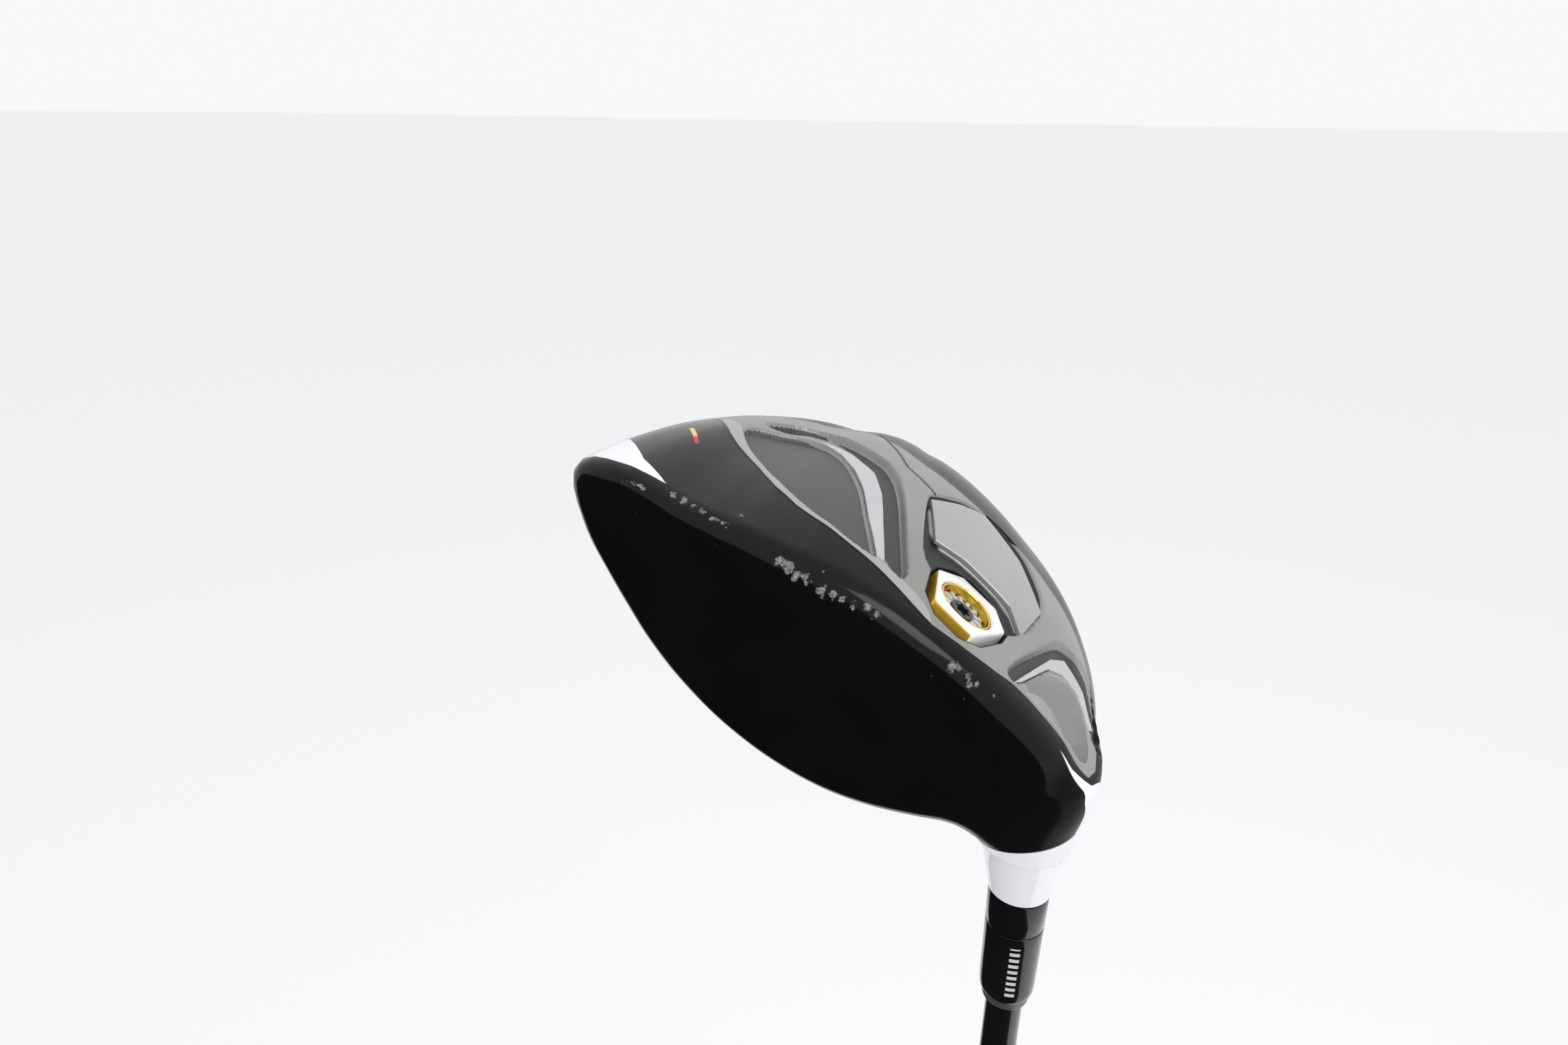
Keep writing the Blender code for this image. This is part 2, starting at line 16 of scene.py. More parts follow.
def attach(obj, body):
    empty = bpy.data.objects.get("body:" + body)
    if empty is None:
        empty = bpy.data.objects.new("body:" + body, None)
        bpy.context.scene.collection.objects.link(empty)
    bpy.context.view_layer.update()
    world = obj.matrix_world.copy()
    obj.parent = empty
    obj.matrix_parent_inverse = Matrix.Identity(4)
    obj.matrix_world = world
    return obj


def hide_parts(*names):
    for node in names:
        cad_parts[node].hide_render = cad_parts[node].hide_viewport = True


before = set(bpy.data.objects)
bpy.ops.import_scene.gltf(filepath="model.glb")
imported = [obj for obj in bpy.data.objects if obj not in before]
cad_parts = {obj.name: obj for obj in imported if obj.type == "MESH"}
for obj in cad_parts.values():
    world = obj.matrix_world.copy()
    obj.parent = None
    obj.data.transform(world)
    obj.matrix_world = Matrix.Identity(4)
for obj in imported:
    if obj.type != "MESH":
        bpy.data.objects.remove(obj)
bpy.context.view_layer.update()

# ---- dimensions shared with the CAD --------------------------------------------------------------
CLUB_LENGTH = 1162.0  # along the shaft, from the butt to the ground
LIE = math.radians(56.93)
AXIS_X = -34.8  # where the axis of the shaft meets the ground
SHAFT_UP = np.array([-math.cos(LIE), 0, math.sin(LIE)])
FACE_LOFT = math.radians(9.1)
FACE_RADIUS = 307.0
FACE_Y = -16.37
FACE_CENTRE = (7.4, 29.0)
HEAD_CENTRE = (6.0, 29.0)
REAR = (3.8, 91.1, 26.2)
# radius of the face outline about HEAD_CENTRE every 10 degrees, from the heel round through the sole
FACE_EDGE = np.array([
    59.7, 62.8, 56.2, 45.8, 38.1, 32.4, 28.4, 25.6, 23.8, 22.6, 22.0, 22.1,
    22.6, 24.1, 26.6, 30.2, 36.6, 48.3, 56.7, 51.0, 43.2, 37.8, 34.4, 31.9,
    30.2, 29.1, 28.7, 28.8, 29.4, 30.6, 32.4, 34.9, 38.0, 41.6, 46.0, 52.0,
])
# how the sides round off to the rear, for the toe, crown, heel and sole
PROFILE_POWER = (2.01, 2.20, 2.04, 2.32)
PROFILE_BULGE = (-0.001, 0.107, 0.087, 0.209)
CORNER_POWER = 0.45
EDGE_BLEND = 6.0
HOSEL_TOP, HOSEL_CUT = 56.3, 44.0
HOSEL_R, HOSEL_FLARE, HOSEL_WIDEN = 6.6, 0.2, 3.5
HOSEL_START = 26.0
HOSEL_BLEND = 10.0
RAY_FROM = np.array([4.0, 24.0, 28.0])  # a point well inside the head
WEIGHT_AT = Vector((-16.7, 1.0, 2.2))
WEIGHT_OUT = Vector((-0.030, 0.050, -0.998)).normalized()
WEIGHT_TURN = math.radians(10.5)
WEIGHT_HEX = [(8.9, 1.8), (4.5, 7.4), (-4.5, 7.4), (-8.9, 1.8), (-4.8, -9.9), (4.8, -9.9)]
WEIGHT_BORE_Y = -1.3
BADGE = [(0.4, 28.8), (-4.8, 12.4), (-12.6, 13.4), (-24.8, 11.4), (-29.4, 5.4), (-32.6, 21.3),
         (-24.2, 34.6), (-12.4, 43.0), (-5.9, 37.2)]
TOE_ACCENT = [(30.3, 41.5), (20.4, 35.6), (13.7, 28.0), (9.7, 19.2), (5.7, 6.8), (1.4, -4.9), (3.2, -4.6),
              (9.0, 7.0), (13.3, 17.3), (17.8, 26.6), (22.4, 33.4)]
HEEL_ACCENT = [(-31.4, -8.2), (-37.9, 9.6), (-41.2, 14.2), (-48.2, 12.7), (-54.0, 8.2), (-52.6, 6.4),
               (-47.2, 9.0), (-41.6, 8.7), (-37.9, 5.6), (-33.0, -6.0)]
HEEL_POCKET = [(-33.4, -7.4), (-34.6, -2.0), (-38.6, 4.5), (-42.0, 7.3), (-46.8, 7.6), (-51.9, 4.9),
               (-54.2, 0.0), (-53.6, -4.2), (-47.0, -6.6), (-40.0, -7.4)]
HEEL_FLOOR = (-2.94, -0.370, -0.076)
HEAD_AT = Vector((-0.05, 0.02, 1.13))
SOLE_TOP = 34.0  # the paint of the sole stays below this height

# ---- paint and relief lines of the sole (X, Y in the address frame) --------------------------------
BAND_BACK = [(52, 38), (48.6, 30.6), (43.8, 22.8), (36.0, 14.7), (25.1, 2.1), (11.1, -4.5), (-0.4, -8.8),
             (-9.9, -12.6), (-12.4, -13.1), (-24.8, -11.4), (-33.0, -8.5), (-42.0, -8.4), (-50, -7.2),
             (-57, -4.5)]
PANEL_BACK = [(-55.5, 7), (-52.3, 17), (-46.3, 28), (-39, 37), (-33, 40.3), (-26.0, 42), (-12, 43.6),
              (2.6, 47.8), (11.5, 55.3), (20.5, 62), (32, 62), (41, 54), (47.5, 45.5)]
STRIP_BACK = [(45.6, 32.9), (40.6, 25.0), (33.9, 17.0), (23.0, 5.8), (11.0, -3.0), (0.2, -6.3), (-8.9, -8.9)]
STRIP = BAND_BACK[:9] + STRIP_BACK[::-1]
LEAF = [(45.0, 33.0), (40.3, 23.5), (33.4, 14.2), (23.7, 3.9), (11.2, -3.1), (3.8, -5.4), (3.6, -4.7),
        (9.4, 7.0), (13.7, 17.3), (18.1, 26.6), (22.7, 33.7), (30.0, 39.5), (35.6, 38.6)]
CHANNEL = [(36.4, 39.8), (30.6, 44.3), (20.4, 36.3), (13.7, 28.2), (9.7, 19.2), (5.7, 6.8), (1.2, -5.3),
           (-4.6, -7.0), (1.2, 7.9), (6.8, 25.9), (9.8, 33.4), (14.1, 39.6), (22.3, 46.3), (32.5, 53.1),
           (43.4, 40.1)]
GROOVE = [(1.2, 30.1), (-1.2, 15.8), (-5.2, 1.8), (-15.0, 0.0), (-27.6, -0.6), (-34.0, 24.5), (-27.4, 37.3),
          (-21.6, 43.4), (-8.9, 43.9), (0.1, 32.9)]
HEEL_CHANNEL = [(-28.4, -7.5), (-37.7, 15.0), (-40.1, 19.1), (-44.7, 21.4), (-49.7, 19.9), (-54, 12.5),
                (-56.5, 3), (-53.6, 7.4), (-47.8, 11.7), (-41.8, 13.2), (-38.8, 8.8), (-32.5, -8.1)]
THIN_LINE = [(30, 66), (19.4, 65.0), (8.7, 41.4), (0.4, 33.1)]
TICK = ((52.8, 21.9), (47.9, 12.3))
TOE_WEDGE = [(43.8, -10.5), (49.4, -9.9), (55.4, -8.6), (62, -6.4), (70, -4), (80, -2), (80, 20), (65, 18),
             (62, 11), (58.4, 5.2), (51.8, -4.6)]
HEEL_WEDGE = [(-45.4, -10.3), (-57, -9.0), (-64, -5), (-70, -5), (-70, 4), (-64, 4), (-60, 0.5),
              (-56.5, -6.0), (-50.5, -8.9)]
# worn spots along the leading edge, as (place, radius)
CHIPS = [
    ((53.3, -13.2, 21.6), 0.5), ((50.8, -13.8, 20.9), 0.5), ((48.4, -13.9, 19.9), 0.7),
    ((46.8, -13.9, 19.3), 0.7), ((41.3, -12.5, 16.9), 0.8), ((39.1, -12.8, 16.3), 0.9),
    ((36.8, -13.1, 15.6), 0.9), ((34.4, -13.8, 14.9), 0.8), ((32.0, -14.4, 14.3), 0.8),
    ((29.8, -14.7, 13.6), 0.7), ((28.5, -10.8, 12.2), 0.5), ((16.8, -16.9, 10.7), 1.3),
    ((14.8, -17.3, 10.5), 1.7), ((12.9, -17.6, 10.4), 1.5), ((10.8, -17.8, 10.1), 1.1),
    ((7.8, -17.9, 9.4), 1.1), ((5.4, -17.9, 8.8), 1.0), ((3.8, -18.0, 8.5), 0.9),
    ((1.4, -17.9, 7.9), 0.9), ((-1.0, -17.4, 6.5), 1.1), ((-3.0, -17.5, 6.5), 1.1),
    ((-19.3, -16.6, 5.5), 1.1), ((-20.2, -16.1, 5.1), 0.9), ((-23.5, -16.3, 5.9), 1.3),
    ((-25.0, -15.9, 5.8), 0.8), ((-28.8, -14.9, 5.8), 0.4), ((18.8, -9.8, 9.8), 0.4),
    ((6.0, -15.8, 8.0), 0.5),
]


# ---- the head's outer surface, as in the CAD -------------------------------------------------------
def edge_radius(angle):
    """FACE_EDGE at any angle, along a smooth curve."""
    step = 2 * math.pi / len(FACE_EDGE)
    at = (angle + math.pi) / step
    k = np.floor(at).astype(int)
    t = at - k
    p0, p1, p2, p3 = (FACE_EDGE[(k + i) % len(FACE_EDGE)] for i in (-1, 0, 1, 2))
    return p1 + 0.5 * t * (p2 - p0 + t * (2 * p0 - 5 * p1 + 4 * p2 - p3 + t * (3 * (p1 - p2) + p3 - p0)))


def face_y(x, z):
    dx, dz = x - FACE_CENTRE[0], z - FACE_CENTRE[1]
    return FACE_Y + (dx * dx + dz * dz) / (2 * FACE_RADIUS) + math.tan(FACE_LOFT) * dz


def by_side(angle, values):
    """A value for the toe, crown, heel and sole, blended round the head."""
    toe, crown, heel, sole = values
    c, s = np.cos(angle), np.sin(angle)
    return np.where(c > 0, toe, heel) * c * c + np.where(s > 0, crown, sole) * s * s


def body_and_face(p):
    """Signed distances, roughly, to the body behind the face and to the face."""
    x, y, z = p[..., 0], p[..., 1], p[..., 2]
    t = np.clip((y + 12) / (REAR[1] + 12), 0, 1) ** 1.55
    cx = HEAD_CENTRE[0] + (REAR[0] - HEAD_CENTRE[0]) * t
    cz = HEAD_CENTRE[1] + (REAR[2] - HEAD_CENTRE[1]) * t
    angle = np.arctan2(z - cz, x - cx)
    edge = edge_radius(angle)
    start = face_y(HEAD_CENTRE[0] + edge * np.cos(angle), HEAD_CENTRE[1] + edge * np.sin(angle))
    t = (y - start) / (REAR[1] - start)
    corner = np.where((np.sin(angle) < 0) & (np.cos(angle) > 0), np.sin(2 * angle) ** 2, 0)
    power, bulge = by_side(angle, PROFILE_POWER) + CORNER_POWER * corner, by_side(angle, PROFILE_BULGE)
    inside = np.clip(t, 0, 0.9999)
    reach = (1 - inside**power) ** (1 / power) * (1 + 4 * bulge * inside * (1 - inside))
    reach = np.where(t < 0, 1 + 4 * bulge * np.maximum(t, -0.1), reach)
    return (np.hypot(z - cz, x - cx) - edge * reach) * 0.8, (face_y(x, z) - y) * 0.98


def solid_and_hosel(p, top):
    body, face = body_and_face(p)
    near = np.maximum(EDGE_BLEND - np.abs(body - face), 0)
    solid = np.maximum(np.maximum(body, face) + near**2 / (4 * EDGE_BLEND), p[..., 1] - REAR[1])
    q = p - np.array([AXIS_X, 0, 0])
    s = q @ SHAFT_UP
    off = np.sqrt(np.maximum((q**2).sum(-1) - s**2, 0))
    hosel = off - HOSEL_R - np.clip((HOSEL_TOP - s) * HOSEL_FLARE, 0, HOSEL_WIDEN)
    return solid, np.maximum(np.maximum(hosel, s - top), HOSEL_START - s)


def head_field(p, top=HOSEL_CUT):
    solid, hosel = solid_and_hosel(p, top)
    near = np.maximum(HOSEL_BLEND - np.abs(solid - hosel), 0)
    return np.minimum(solid, hosel) - near**2 / (4 * HOSEL_BLEND)


def cast(start, directions, field, reach=140.0):
    """Where rays from inside leave a field."""
    low, high = np.zeros(len(directions)), np.full(len(directions), reach)
    for _ in range(26):
        mid = (low + high) / 2
        out = field(start + directions * mid[:, None]) > 0
        high, low = np.where(out, mid, high), np.where(out, low, mid)
    return start + directions * ((low + high) / 2)[:, None]


def normals(p, field):
    h = 0.05
    g = np.stack([field(p + h * e) - field(p - h * e) for e in np.eye(3)], -1)
    return g / np.linalg.norm(g, axis=1, keepdims=True)


def plain_field(p):
    return np.maximum(*body_and_face(p))


# ---- frames and mesh helpers -----------------------------------------------------------------------
def address_to_head():
    s, c = math.sin(LIE), math.cos(LIE)
    turn = Matrix(((-s, 0, -c, 0), (0, 1, 0, 0), (c, 0, -s, 0), (0, 0, 0, 1)))
    ground = Matrix.Translation(Vector((0, 0, CLUB_LENGTH / 1000)) - HEAD_AT)
    return ground @ Matrix.Scale(0.001, 4) @ turn @ Matrix.Translation((-AXIS_X, 0, 0))


TO_HEAD = address_to_head()
FROM_HEAD = TO_HEAD.inverted()
WEIGHT_X = (Vector((1, 0, 0)) - WEIGHT_OUT * WEIGHT_OUT.x).normalized()
WEIGHT_Y = WEIGHT_OUT.cross(WEIGHT_X) * -1
WEIGHT_X, WEIGHT_Y = (WEIGHT_X * math.cos(WEIGHT_TURN) + WEIGHT_Y * math.sin(WEIGHT_TURN),
                      WEIGHT_Y * math.cos(WEIGHT_TURN) - WEIGHT_X * math.sin(WEIGHT_TURN))
HEX_TO_ADDRESS = Matrix((
    (WEIGHT_X.x, WEIGHT_Y.x, -WEIGHT_OUT.x, WEIGHT_AT.x),
    (WEIGHT_X.y, WEIGHT_Y.y, -WEIGHT_OUT.y, WEIGHT_AT.y),
    (WEIGHT_X.z, WEIGHT_Y.z, -WEIGHT_OUT.z, WEIGHT_AT.z),
    (0, 0, 0, 1)))
# local Z points out of the sole, on the axis of the weight's screw
WEIGHT_TO_ADDRESS = (HEX_TO_ADDRESS @ Matrix.Translation((0, WEIGHT_BORE_Y, 0))
                     @ Matrix.Rotation(math.pi, 4, "X"))
WEIGHT_TO_HEAD = TO_HEAD @ WEIGHT_TO_ADDRESS


def moved(p, matrix):
    m = np.array(matrix)
    return p @ m[:3, :3].T + m[:3, 3]


def make(name, points, faces, material, location=HEAD_AT):
    """A smooth mesh object; points in metres from its location."""
    mesh = bpy.data.meshes.new(name)
    mesh.from_pydata([tuple(p) for p in points], [], faces)
    mesh.validate()
    made = bmesh.new()
    made.from_mesh(mesh)
    bmesh.ops.recalc_face_normals(made, faces=made.faces)
    made.to_mesh(mesh)
    made.free()
    mesh.polygons.foreach_set("use_smooth", [True] * len(mesh.polygons))
    obj = bpy.data.objects.new(name, mesh)
    bpy.context.scene.collection.objects.link(obj)
    obj.location = location
    if material:
        mesh.materials.append(material)
    return obj


def finish_piece(obj, body, slot, *nodes, sharp=35):
    obj.data.set_sharp_from_angle(angle=math.radians(sharp))
    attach(obj, body)
    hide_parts(*nodes)


def positions(mesh):
    at = np.empty(len(mesh.vertices) * 3)
    mesh.vertices.foreach_get("co", at)
    return at.reshape(-1, 3)


def attribute(mesh, name, values):
    mesh.attributes.new(name, "FLOAT", "POINT").data.foreach_set("value", np.asarray(values, np.float32))


def rounded(outline, times=2):
    """Corners cut off, again and again."""
    pts = np.asarray(outline, float)
    for _ in range(times):
        ahead = np.roll(pts, -1, 0)
        pts = np.stack([pts * 0.75 + ahead * 0.25, pts * 0.25 + ahead * 0.75], 1).reshape(-1, 2)
    return pts


def grown(outline, by):
    """The outline moved outwards by a distance, or inwards below 0."""
    pts = np.asarray(outline, float)
    ahead, back = np.roll(pts, -1, 0) - pts, pts - np.roll(pts, 1, 0)
    area = (pts[:, 0] * np.roll(pts[:, 1], -1) - np.roll(pts[:, 0], -1) * pts[:, 1]).sum()
    made = []
    for p, a, b in zip(pts, back, ahead):
        a, b = a / np.linalg.norm(a), b / np.linalg.norm(b)
        na, nb = np.array([a[1], -a[0]]) * np.sign(area), np.array([b[1], -b[0]]) * np.sign(area)
        mid = (na + nb) / np.linalg.norm(na + nb)
        made.append(p + mid * by / max(mid @ na, 0.5))
    return np.array(made)


def to_line(p, line, closed=False):
    """Squared distance in the plane from points to a line of segments."""
    best = np.full(len(p), 1e9)
    pts = np.asarray(line, float)
    for a, b in zip(pts if closed else pts[:-1], np.roll(pts, -1, 0)):
        e = b - a
        t = np.clip(((p - a) @ e) / (e @ e), 0, 1)
        best = np.minimum(best, ((p - a - t[:, None] * e) ** 2).sum(1))
    return best


def signed(p, outline):
    """Distance in the plane from points to a closed outline, below 0 inside."""
    pts = np.asarray(outline, float)
    inside = np.zeros(len(p), bool)
    for a, b in zip(pts, np.roll(pts, -1, 0)):
        crosses = (a[1] > p[:, 1]) != (b[1] > p[:, 1])
        rise = b[1] - a[1] if b[1] != a[1] else 1e-9
        inside ^= crosses & (p[:, 0] < a[0] + (p[:, 1] - a[1]) * (b[0] - a[0]) / rise)
    return np.where(inside, -1, 1) * np.sqrt(to_line(p, pts, True))


def ramp(value, low, high):
    """0 at low, 1 at high, smooth between."""
    t = np.clip((value - low) / (high - low), 0, 1)
    return t * t * (3 - 2 * t)


def grid_faces(rows, columns, wrap=False):
    """Faces between rings of points; wrap joins the last ring to the first."""
    faces = []
    for r in range(rows if wrap else rows - 1):
        low, high = r * columns, (r + 1) % rows * columns
        for i in range(columns):
            k = (i + 1) % columns
            faces.append((low + i, low + k, high + k, high + i))
    return faces


def capped_faces(rows, columns):
    """Faces between rings of points, closed by one flat face at each end."""
    first, last = tuple(range(columns)), tuple(range((rows - 1) * columns, rows * columns))
    return grid_faces(rows, columns) + [first, last]


def turns(count):
    return np.linspace(0, 2 * math.pi, count, endpoint=False)


# ---- materials ---------------------------------------------------------------------------------------
class Paint:
    """A node material: a Principled shader with fine variation."""

    def __init__(self, name, colour, rough, metallic=0.0, coat=0.0, specular=0.5, grain=0.0,
                 grain_scale=900.0, mottle=0.12, mottle_scale=60.0):
        self.material = bpy.data.materials.new(name)
        self.material.use_nodes = True
        self.tree = self.material.node_tree
        self.shader = self.tree.nodes["Principled BSDF"]
        self.shader.inputs["Metallic"].default_value = metallic
        self.shader.inputs["Coat Weight"].default_value = coat
        self.shader.inputs["Coat Roughness"].default_value = 0.04
        self.shader.inputs["Specular IOR Level"].default_value = specular
        self.where = self.node("ShaderNodeTexCoord").outputs["Object"]
        cloud = self.noise(mottle_scale, 3)
        self.base = self.mix(self.ramp(cloud, 0.3, 0.7), tuple(c * (1 - mottle) for c in colour),
                             tuple(min(c * (1 + mottle), 1) for c in colour))
        self.set("Base Color", self.base)
        self.rough = self.blend(self.ramp(cloud, 0.35, 0.75), rough * 0.85, rough * 1.15)
        self.set("Roughness", self.rough)
        if grain:
            self.bump(self.noise(grain_scale, 2), grain)

    def node(self, kind, **settings):
        made = self.tree.nodes.new(kind)
        for key, value in settings.items():
            setattr(made, key, value)
        return made

    def link(self, value, socket):
        if isinstance(value, (int, float)):
            socket.default_value = value
        elif isinstance(value, tuple):
            socket.default_value = (*value, 1) if len(value) == 3 and socket.type == "RGBA" else value
        else:
            self.tree.links.new(value, socket)

    def set(self, name, value):
        self.link(value, self.shader.inputs[name])

    def noise(self, scale, detail=2, where=None):
        made = self.node("ShaderNodeTexNoise")
        self.link(where or self.where, made.inputs["Vector"])
        made.inputs["Scale"].default_value = scale
        made.inputs["Detail"].default_value = detail
        return made.outputs["Fac"]

    def attribute(self, name):
        return self.node("ShaderNodeAttribute", attribute_name=name).outputs["Fac"]

    def math(self, operation, a, b=0.0):
        made = self.node("ShaderNodeMath", operation=operation)
        self.link(a, made.inputs[0])
        self.link(b, made.inputs[1])
        return made.outputs[0]

    def ramp(self, value, low, high):
        """0 at low, 1 at high."""
        made = self.node("ShaderNodeMapRange", interpolation_type="SMOOTHSTEP")
        for i, v in enumerate((value, low, high)):
            self.link(v, made.inputs[i])
        return made.outputs[0]

    def inside(self, name, edge=0.08):
        """1 where a signed distance is below 0."""
        return self.ramp(self.attribute(name), edge, -edge)

    def mix(self, share, a, b):
        made = self.node("ShaderNodeMix", data_type="RGBA")
        for i, v in ((0, share), (6, a), (7, b)):
            self.link(v, made.inputs[i])
        return made.outputs[2]

    def blend(self, share, a, b):
        made = self.node("ShaderNodeMix", data_type="FLOAT")
        for i, v in ((0, share), (2, a), (3, b)):
            self.link(v, made.inputs[i])
        return made.outputs[0]

    def bump(self, height, distance):
        made = self.node("ShaderNodeBump")
        made.inputs["Distance"].default_value = distance / 1000
        self.link(height, made.inputs["Height"])
        self.set("Normal", made.outputs["Normal"])


BLACK_PAINT = (0.004, 0.004, 0.0046)


def head_paint():
    p = Paint("head_paint", BLACK_PAINT, 0.13, mottle=0.1)
    grey_noise = p.ramp(p.noise(40, 3), 0.3, 0.7)
    satin = p.mix(grey_noise, (0.25, 0.247, 0.240), (0.29, 0.286, 0.278))
    colour, rough = p.base, p.rough

    def layer(share, new_colour, new_rough):
        nonlocal colour, rough
        colour = p.mix(share, colour, new_colour)
        rough = p.blend(share, rough, new_rough)

    skirt = p.inside("skirt", 4.0)
    layer(skirt, (0.005, 0.005, 0.006), 0.2)
    panel = p.inside("panel")
    layer(panel, satin, 0.34)
    layer(p.inside("strip"), (0.37, 0.366, 0.357), 0.3)
    layer(p.inside("leaf"), (0.085, 0.082, 0.077), 0.42)
    layer(p.inside("channel"), (0.065, 0.064, 0.061), 0.55)
    layer(p.inside("groove"), (0.03, 0.03, 0.03), 0.5)
    layer(p.inside("thin"), (0.03, 0.03, 0.03), 0.4)
    # painted shade: the weight pocket's walls and floor are darkened to near black to stand in for the shade
    # in the recess
    layer(p.inside("painted_shade_well"), (0.012, 0.012, 0.012), 0.5)
    layer(p.inside("heel_floor"), (0.50, 0.49, 0.48), 0.35)
    layer(p.inside("white"), (0.80, 0.80, 0.83), 0.16)
    tick = p.inside("tick")
    tick_colour = p.mix(p.ramp(p.attribute("tick_along"), 0.55, 0.75), (0.75, 0.55, 0.12), (0.5, 0.02, 0.04))
    layer(tick, tick_colour, 0.3)
    # bare spots: torn edges round each chip, and fine specks that thin out away from the leading edge
    torn = p.math("MULTIPLY", p.math("SUBTRACT", p.noise(800, 9), 0.5), 4.0)
    worn = p.math("ADD", p.attribute("chip"), torn)
    thinning = p.math("MULTIPLY", p.attribute("wear"), 0.012)
    speck = p.math("ADD", thinning, p.math("SUBTRACT", 0.735, p.noise(1900, 3)))
    chip = p.math("MAXIMUM", p.ramp(worn, 0.25, -0.25), p.ramp(speck, 0.01, -0.01))
    layer(chip, p.mix(p.ramp(p.noise(2500, 2), 0.35, 0.65), (0.08, 0.077, 0.072), (0.27, 0.26, 0.25)), 0.45)
    scratch_at = p.node("ShaderNodeMapping")
    p.link(p.where, scratch_at.inputs["Vector"])
    scratch_at.inputs["Rotation"].default_value = (0.3, 0.9, 0.4)
    scratch_at.inputs["Scale"].default_value = (1.0, 0.12, 1.0)
    scuff = p.ramp(p.noise(1300, 2, scratch_at.outputs[0]), 0.74, 0.78)
    scuff = p.math("MULTIPLY", scuff, p.ramp(p.attribute("wear"), 9.0, 2.0))
    layer(p.math("MULTIPLY", scuff, 0.5), (0.35, 0.34, 0.33), 0.4)
    p.set("Base Color", colour)
    p.set("Roughness", rough)
    flake = p.noise(3800, 2)
    made = p.node("ShaderNodeBump")
    made.inputs["Distance"].default_value = 0.00008
    flake_height = p.math("MULTIPLY", flake, p.math("MULTIPLY", panel, 0.25))
    p.link(p.math("SUBTRACT", flake_height, chip), made.inputs["Height"])
    p.set("Normal", made.outputs["Normal"])
    p.set("Metallic", p.math("MULTIPLY", panel, 0.25))
    # the black band mirrors little, the skirt almost nothing and the satin panel most
    p.set("Specular IOR Level", p.blend(p.math("MAXIMUM", panel, skirt), 0.2, p.blend(panel, 0.05, 0.45)))
    return p.material


def carbon_paint():
    p = Paint("crown_carbon_look", (0.008, 0.008, 0.009), 0.3, coat=1.0, mottle=0.15)
    split = p.node("ShaderNodeSeparateXYZ")
    p.link(p.where, split.inputs[0])
    across = p.math("MULTIPLY", split.outputs["Y"], 500.0)
    along = p.math("MULTIPLY", p.math("ADD", split.outputs["X"], split.outputs["Z"]), 350.0)
    cell = p.math("MODULO", p.math("ADD", p.math("FLOOR", across), p.math("FLOOR", along)), 2.0)
    weave = p.math("ABSOLUTE", cell)
    p.set("Base Color", p.mix(weave, (0.006, 0.006, 0.007), (0.016, 0.016, 0.018)))
    p.set("Roughness", p.blend(weave, 0.25, 0.42))
    return p.material


def ferrule_paint():
    p = Paint("ferrule_black", (0.006, 0.006, 0.007), 0.14, coat=0.4, grain=0.01, grain_scale=300)
    bar = p.math("MULTIPLY", p.ramp(p.math("ABSOLUTE", p.attribute("around")), 1.15, 0.95),
                 p.ramp(p.math("PINGPONG", p.attribute("along"), 0.85), 0.36, 0.46))
    bar = p.math("MULTIPLY", bar, p.math("MULTIPLY", p.ramp(p.attribute("along"), -0.1, 0.1),
                                         p.ramp(p.attribute("along"), 14.5, 14.3)))
    p.set("Base Color", p.mix(bar, p.base, (0.55, 0.55, 0.53)))
    return p.material


def rubber_paint():
    p = Paint("grip_rubber_look", (0.022, 0.022, 0.024), 0.62, grain=0.12, grain_scale=2600, mottle=0.25)
    worn = p.ramp(p.noise(35, 4), 0.5, 0.75)
    p.set("Roughness", p.blend(worn, 0.7, 0.5))
    return p.material


def worn_metal(name, colour, rough):
    p = Paint(name, colour, rough, metallic=1.0, mottle=0.08, grain=0.02, grain_scale=2200)
    return p.material


PAINTS = {
    "head": head_paint(),
    "face": Paint("face_black", BLACK_PAINT, 0.07, specular=0.2, mottle=0.1).material,
    "carbon": carbon_paint(),
    "white": Paint("hosel_white", (0.80, 0.80, 0.83), 0.14, coat=0.3, mottle=0.015).material,
    "satin": Paint("badge_satin", (0.34, 0.336, 0.325), 0.33, metallic=0.25, coat=0.3, grain=0.01,
                   grain_scale=3800, mottle=0.06).material,
    "silver": Paint("accent_silver_look", (0.50, 0.51, 0.52), 0.3, metallic=0.35, coat=0.2,
                    mottle=0.05).material,
    "weight_white": Paint("weight_offwhite", (0.78, 0.77, 0.74), 0.2, coat=0.4, mottle=0.03).material,
    "weight_gold": Paint("weight_gold_paint", (0.72, 0.42, 0.04), 0.26, metallic=0.55, coat=0.4,
                         mottle=0.05).material,
    "gold": worn_metal("gold_ring_look", (0.86, 0.58, 0.08), 0.2),
    "tooth": Paint("disc_silver", (0.62, 0.62, 0.64), 0.45, metallic=0.2, mottle=0.08, grain=0.02).material,
    "hub": Paint("disc_hub", (0.09, 0.09, 0.10), 0.35, metallic=0.8, mottle=0.2).material,
    "steel": worn_metal("screw_steel", (0.55, 0.56, 0.58), 0.28),
    "gloss": Paint("sleeve_black", (0.005, 0.005, 0.006), 0.12, coat=0.4, grain=0.01,
                   grain_scale=300).material,
    "ferrule": ferrule_paint(),
    "ring": Paint("ring_anodised", (0.16, 0.16, 0.17), 0.35, metallic=0.7, mottle=0.08).material,
    "shaft": Paint("shaft_clearcoat", (0.006, 0.006, 0.007), 0.2, coat=0.5, grain=0.02,
                   grain_scale=120).material,
    "rubber": rubber_paint(),
    "tape": Paint("grip_tape_paper", (0.70, 0.64, 0.50), 0.8, grain=0.1, grain_scale=1500).material,
    "plug": Paint("tip_plug_cork", (0.60, 0.45, 0.24), 0.8, grain=0.2, grain_scale=700, mottle=0.3).material,
    "plastic": Paint("retainer_plastic", (0.03, 0.03, 0.03), 0.45, grain=0.03).material,
}
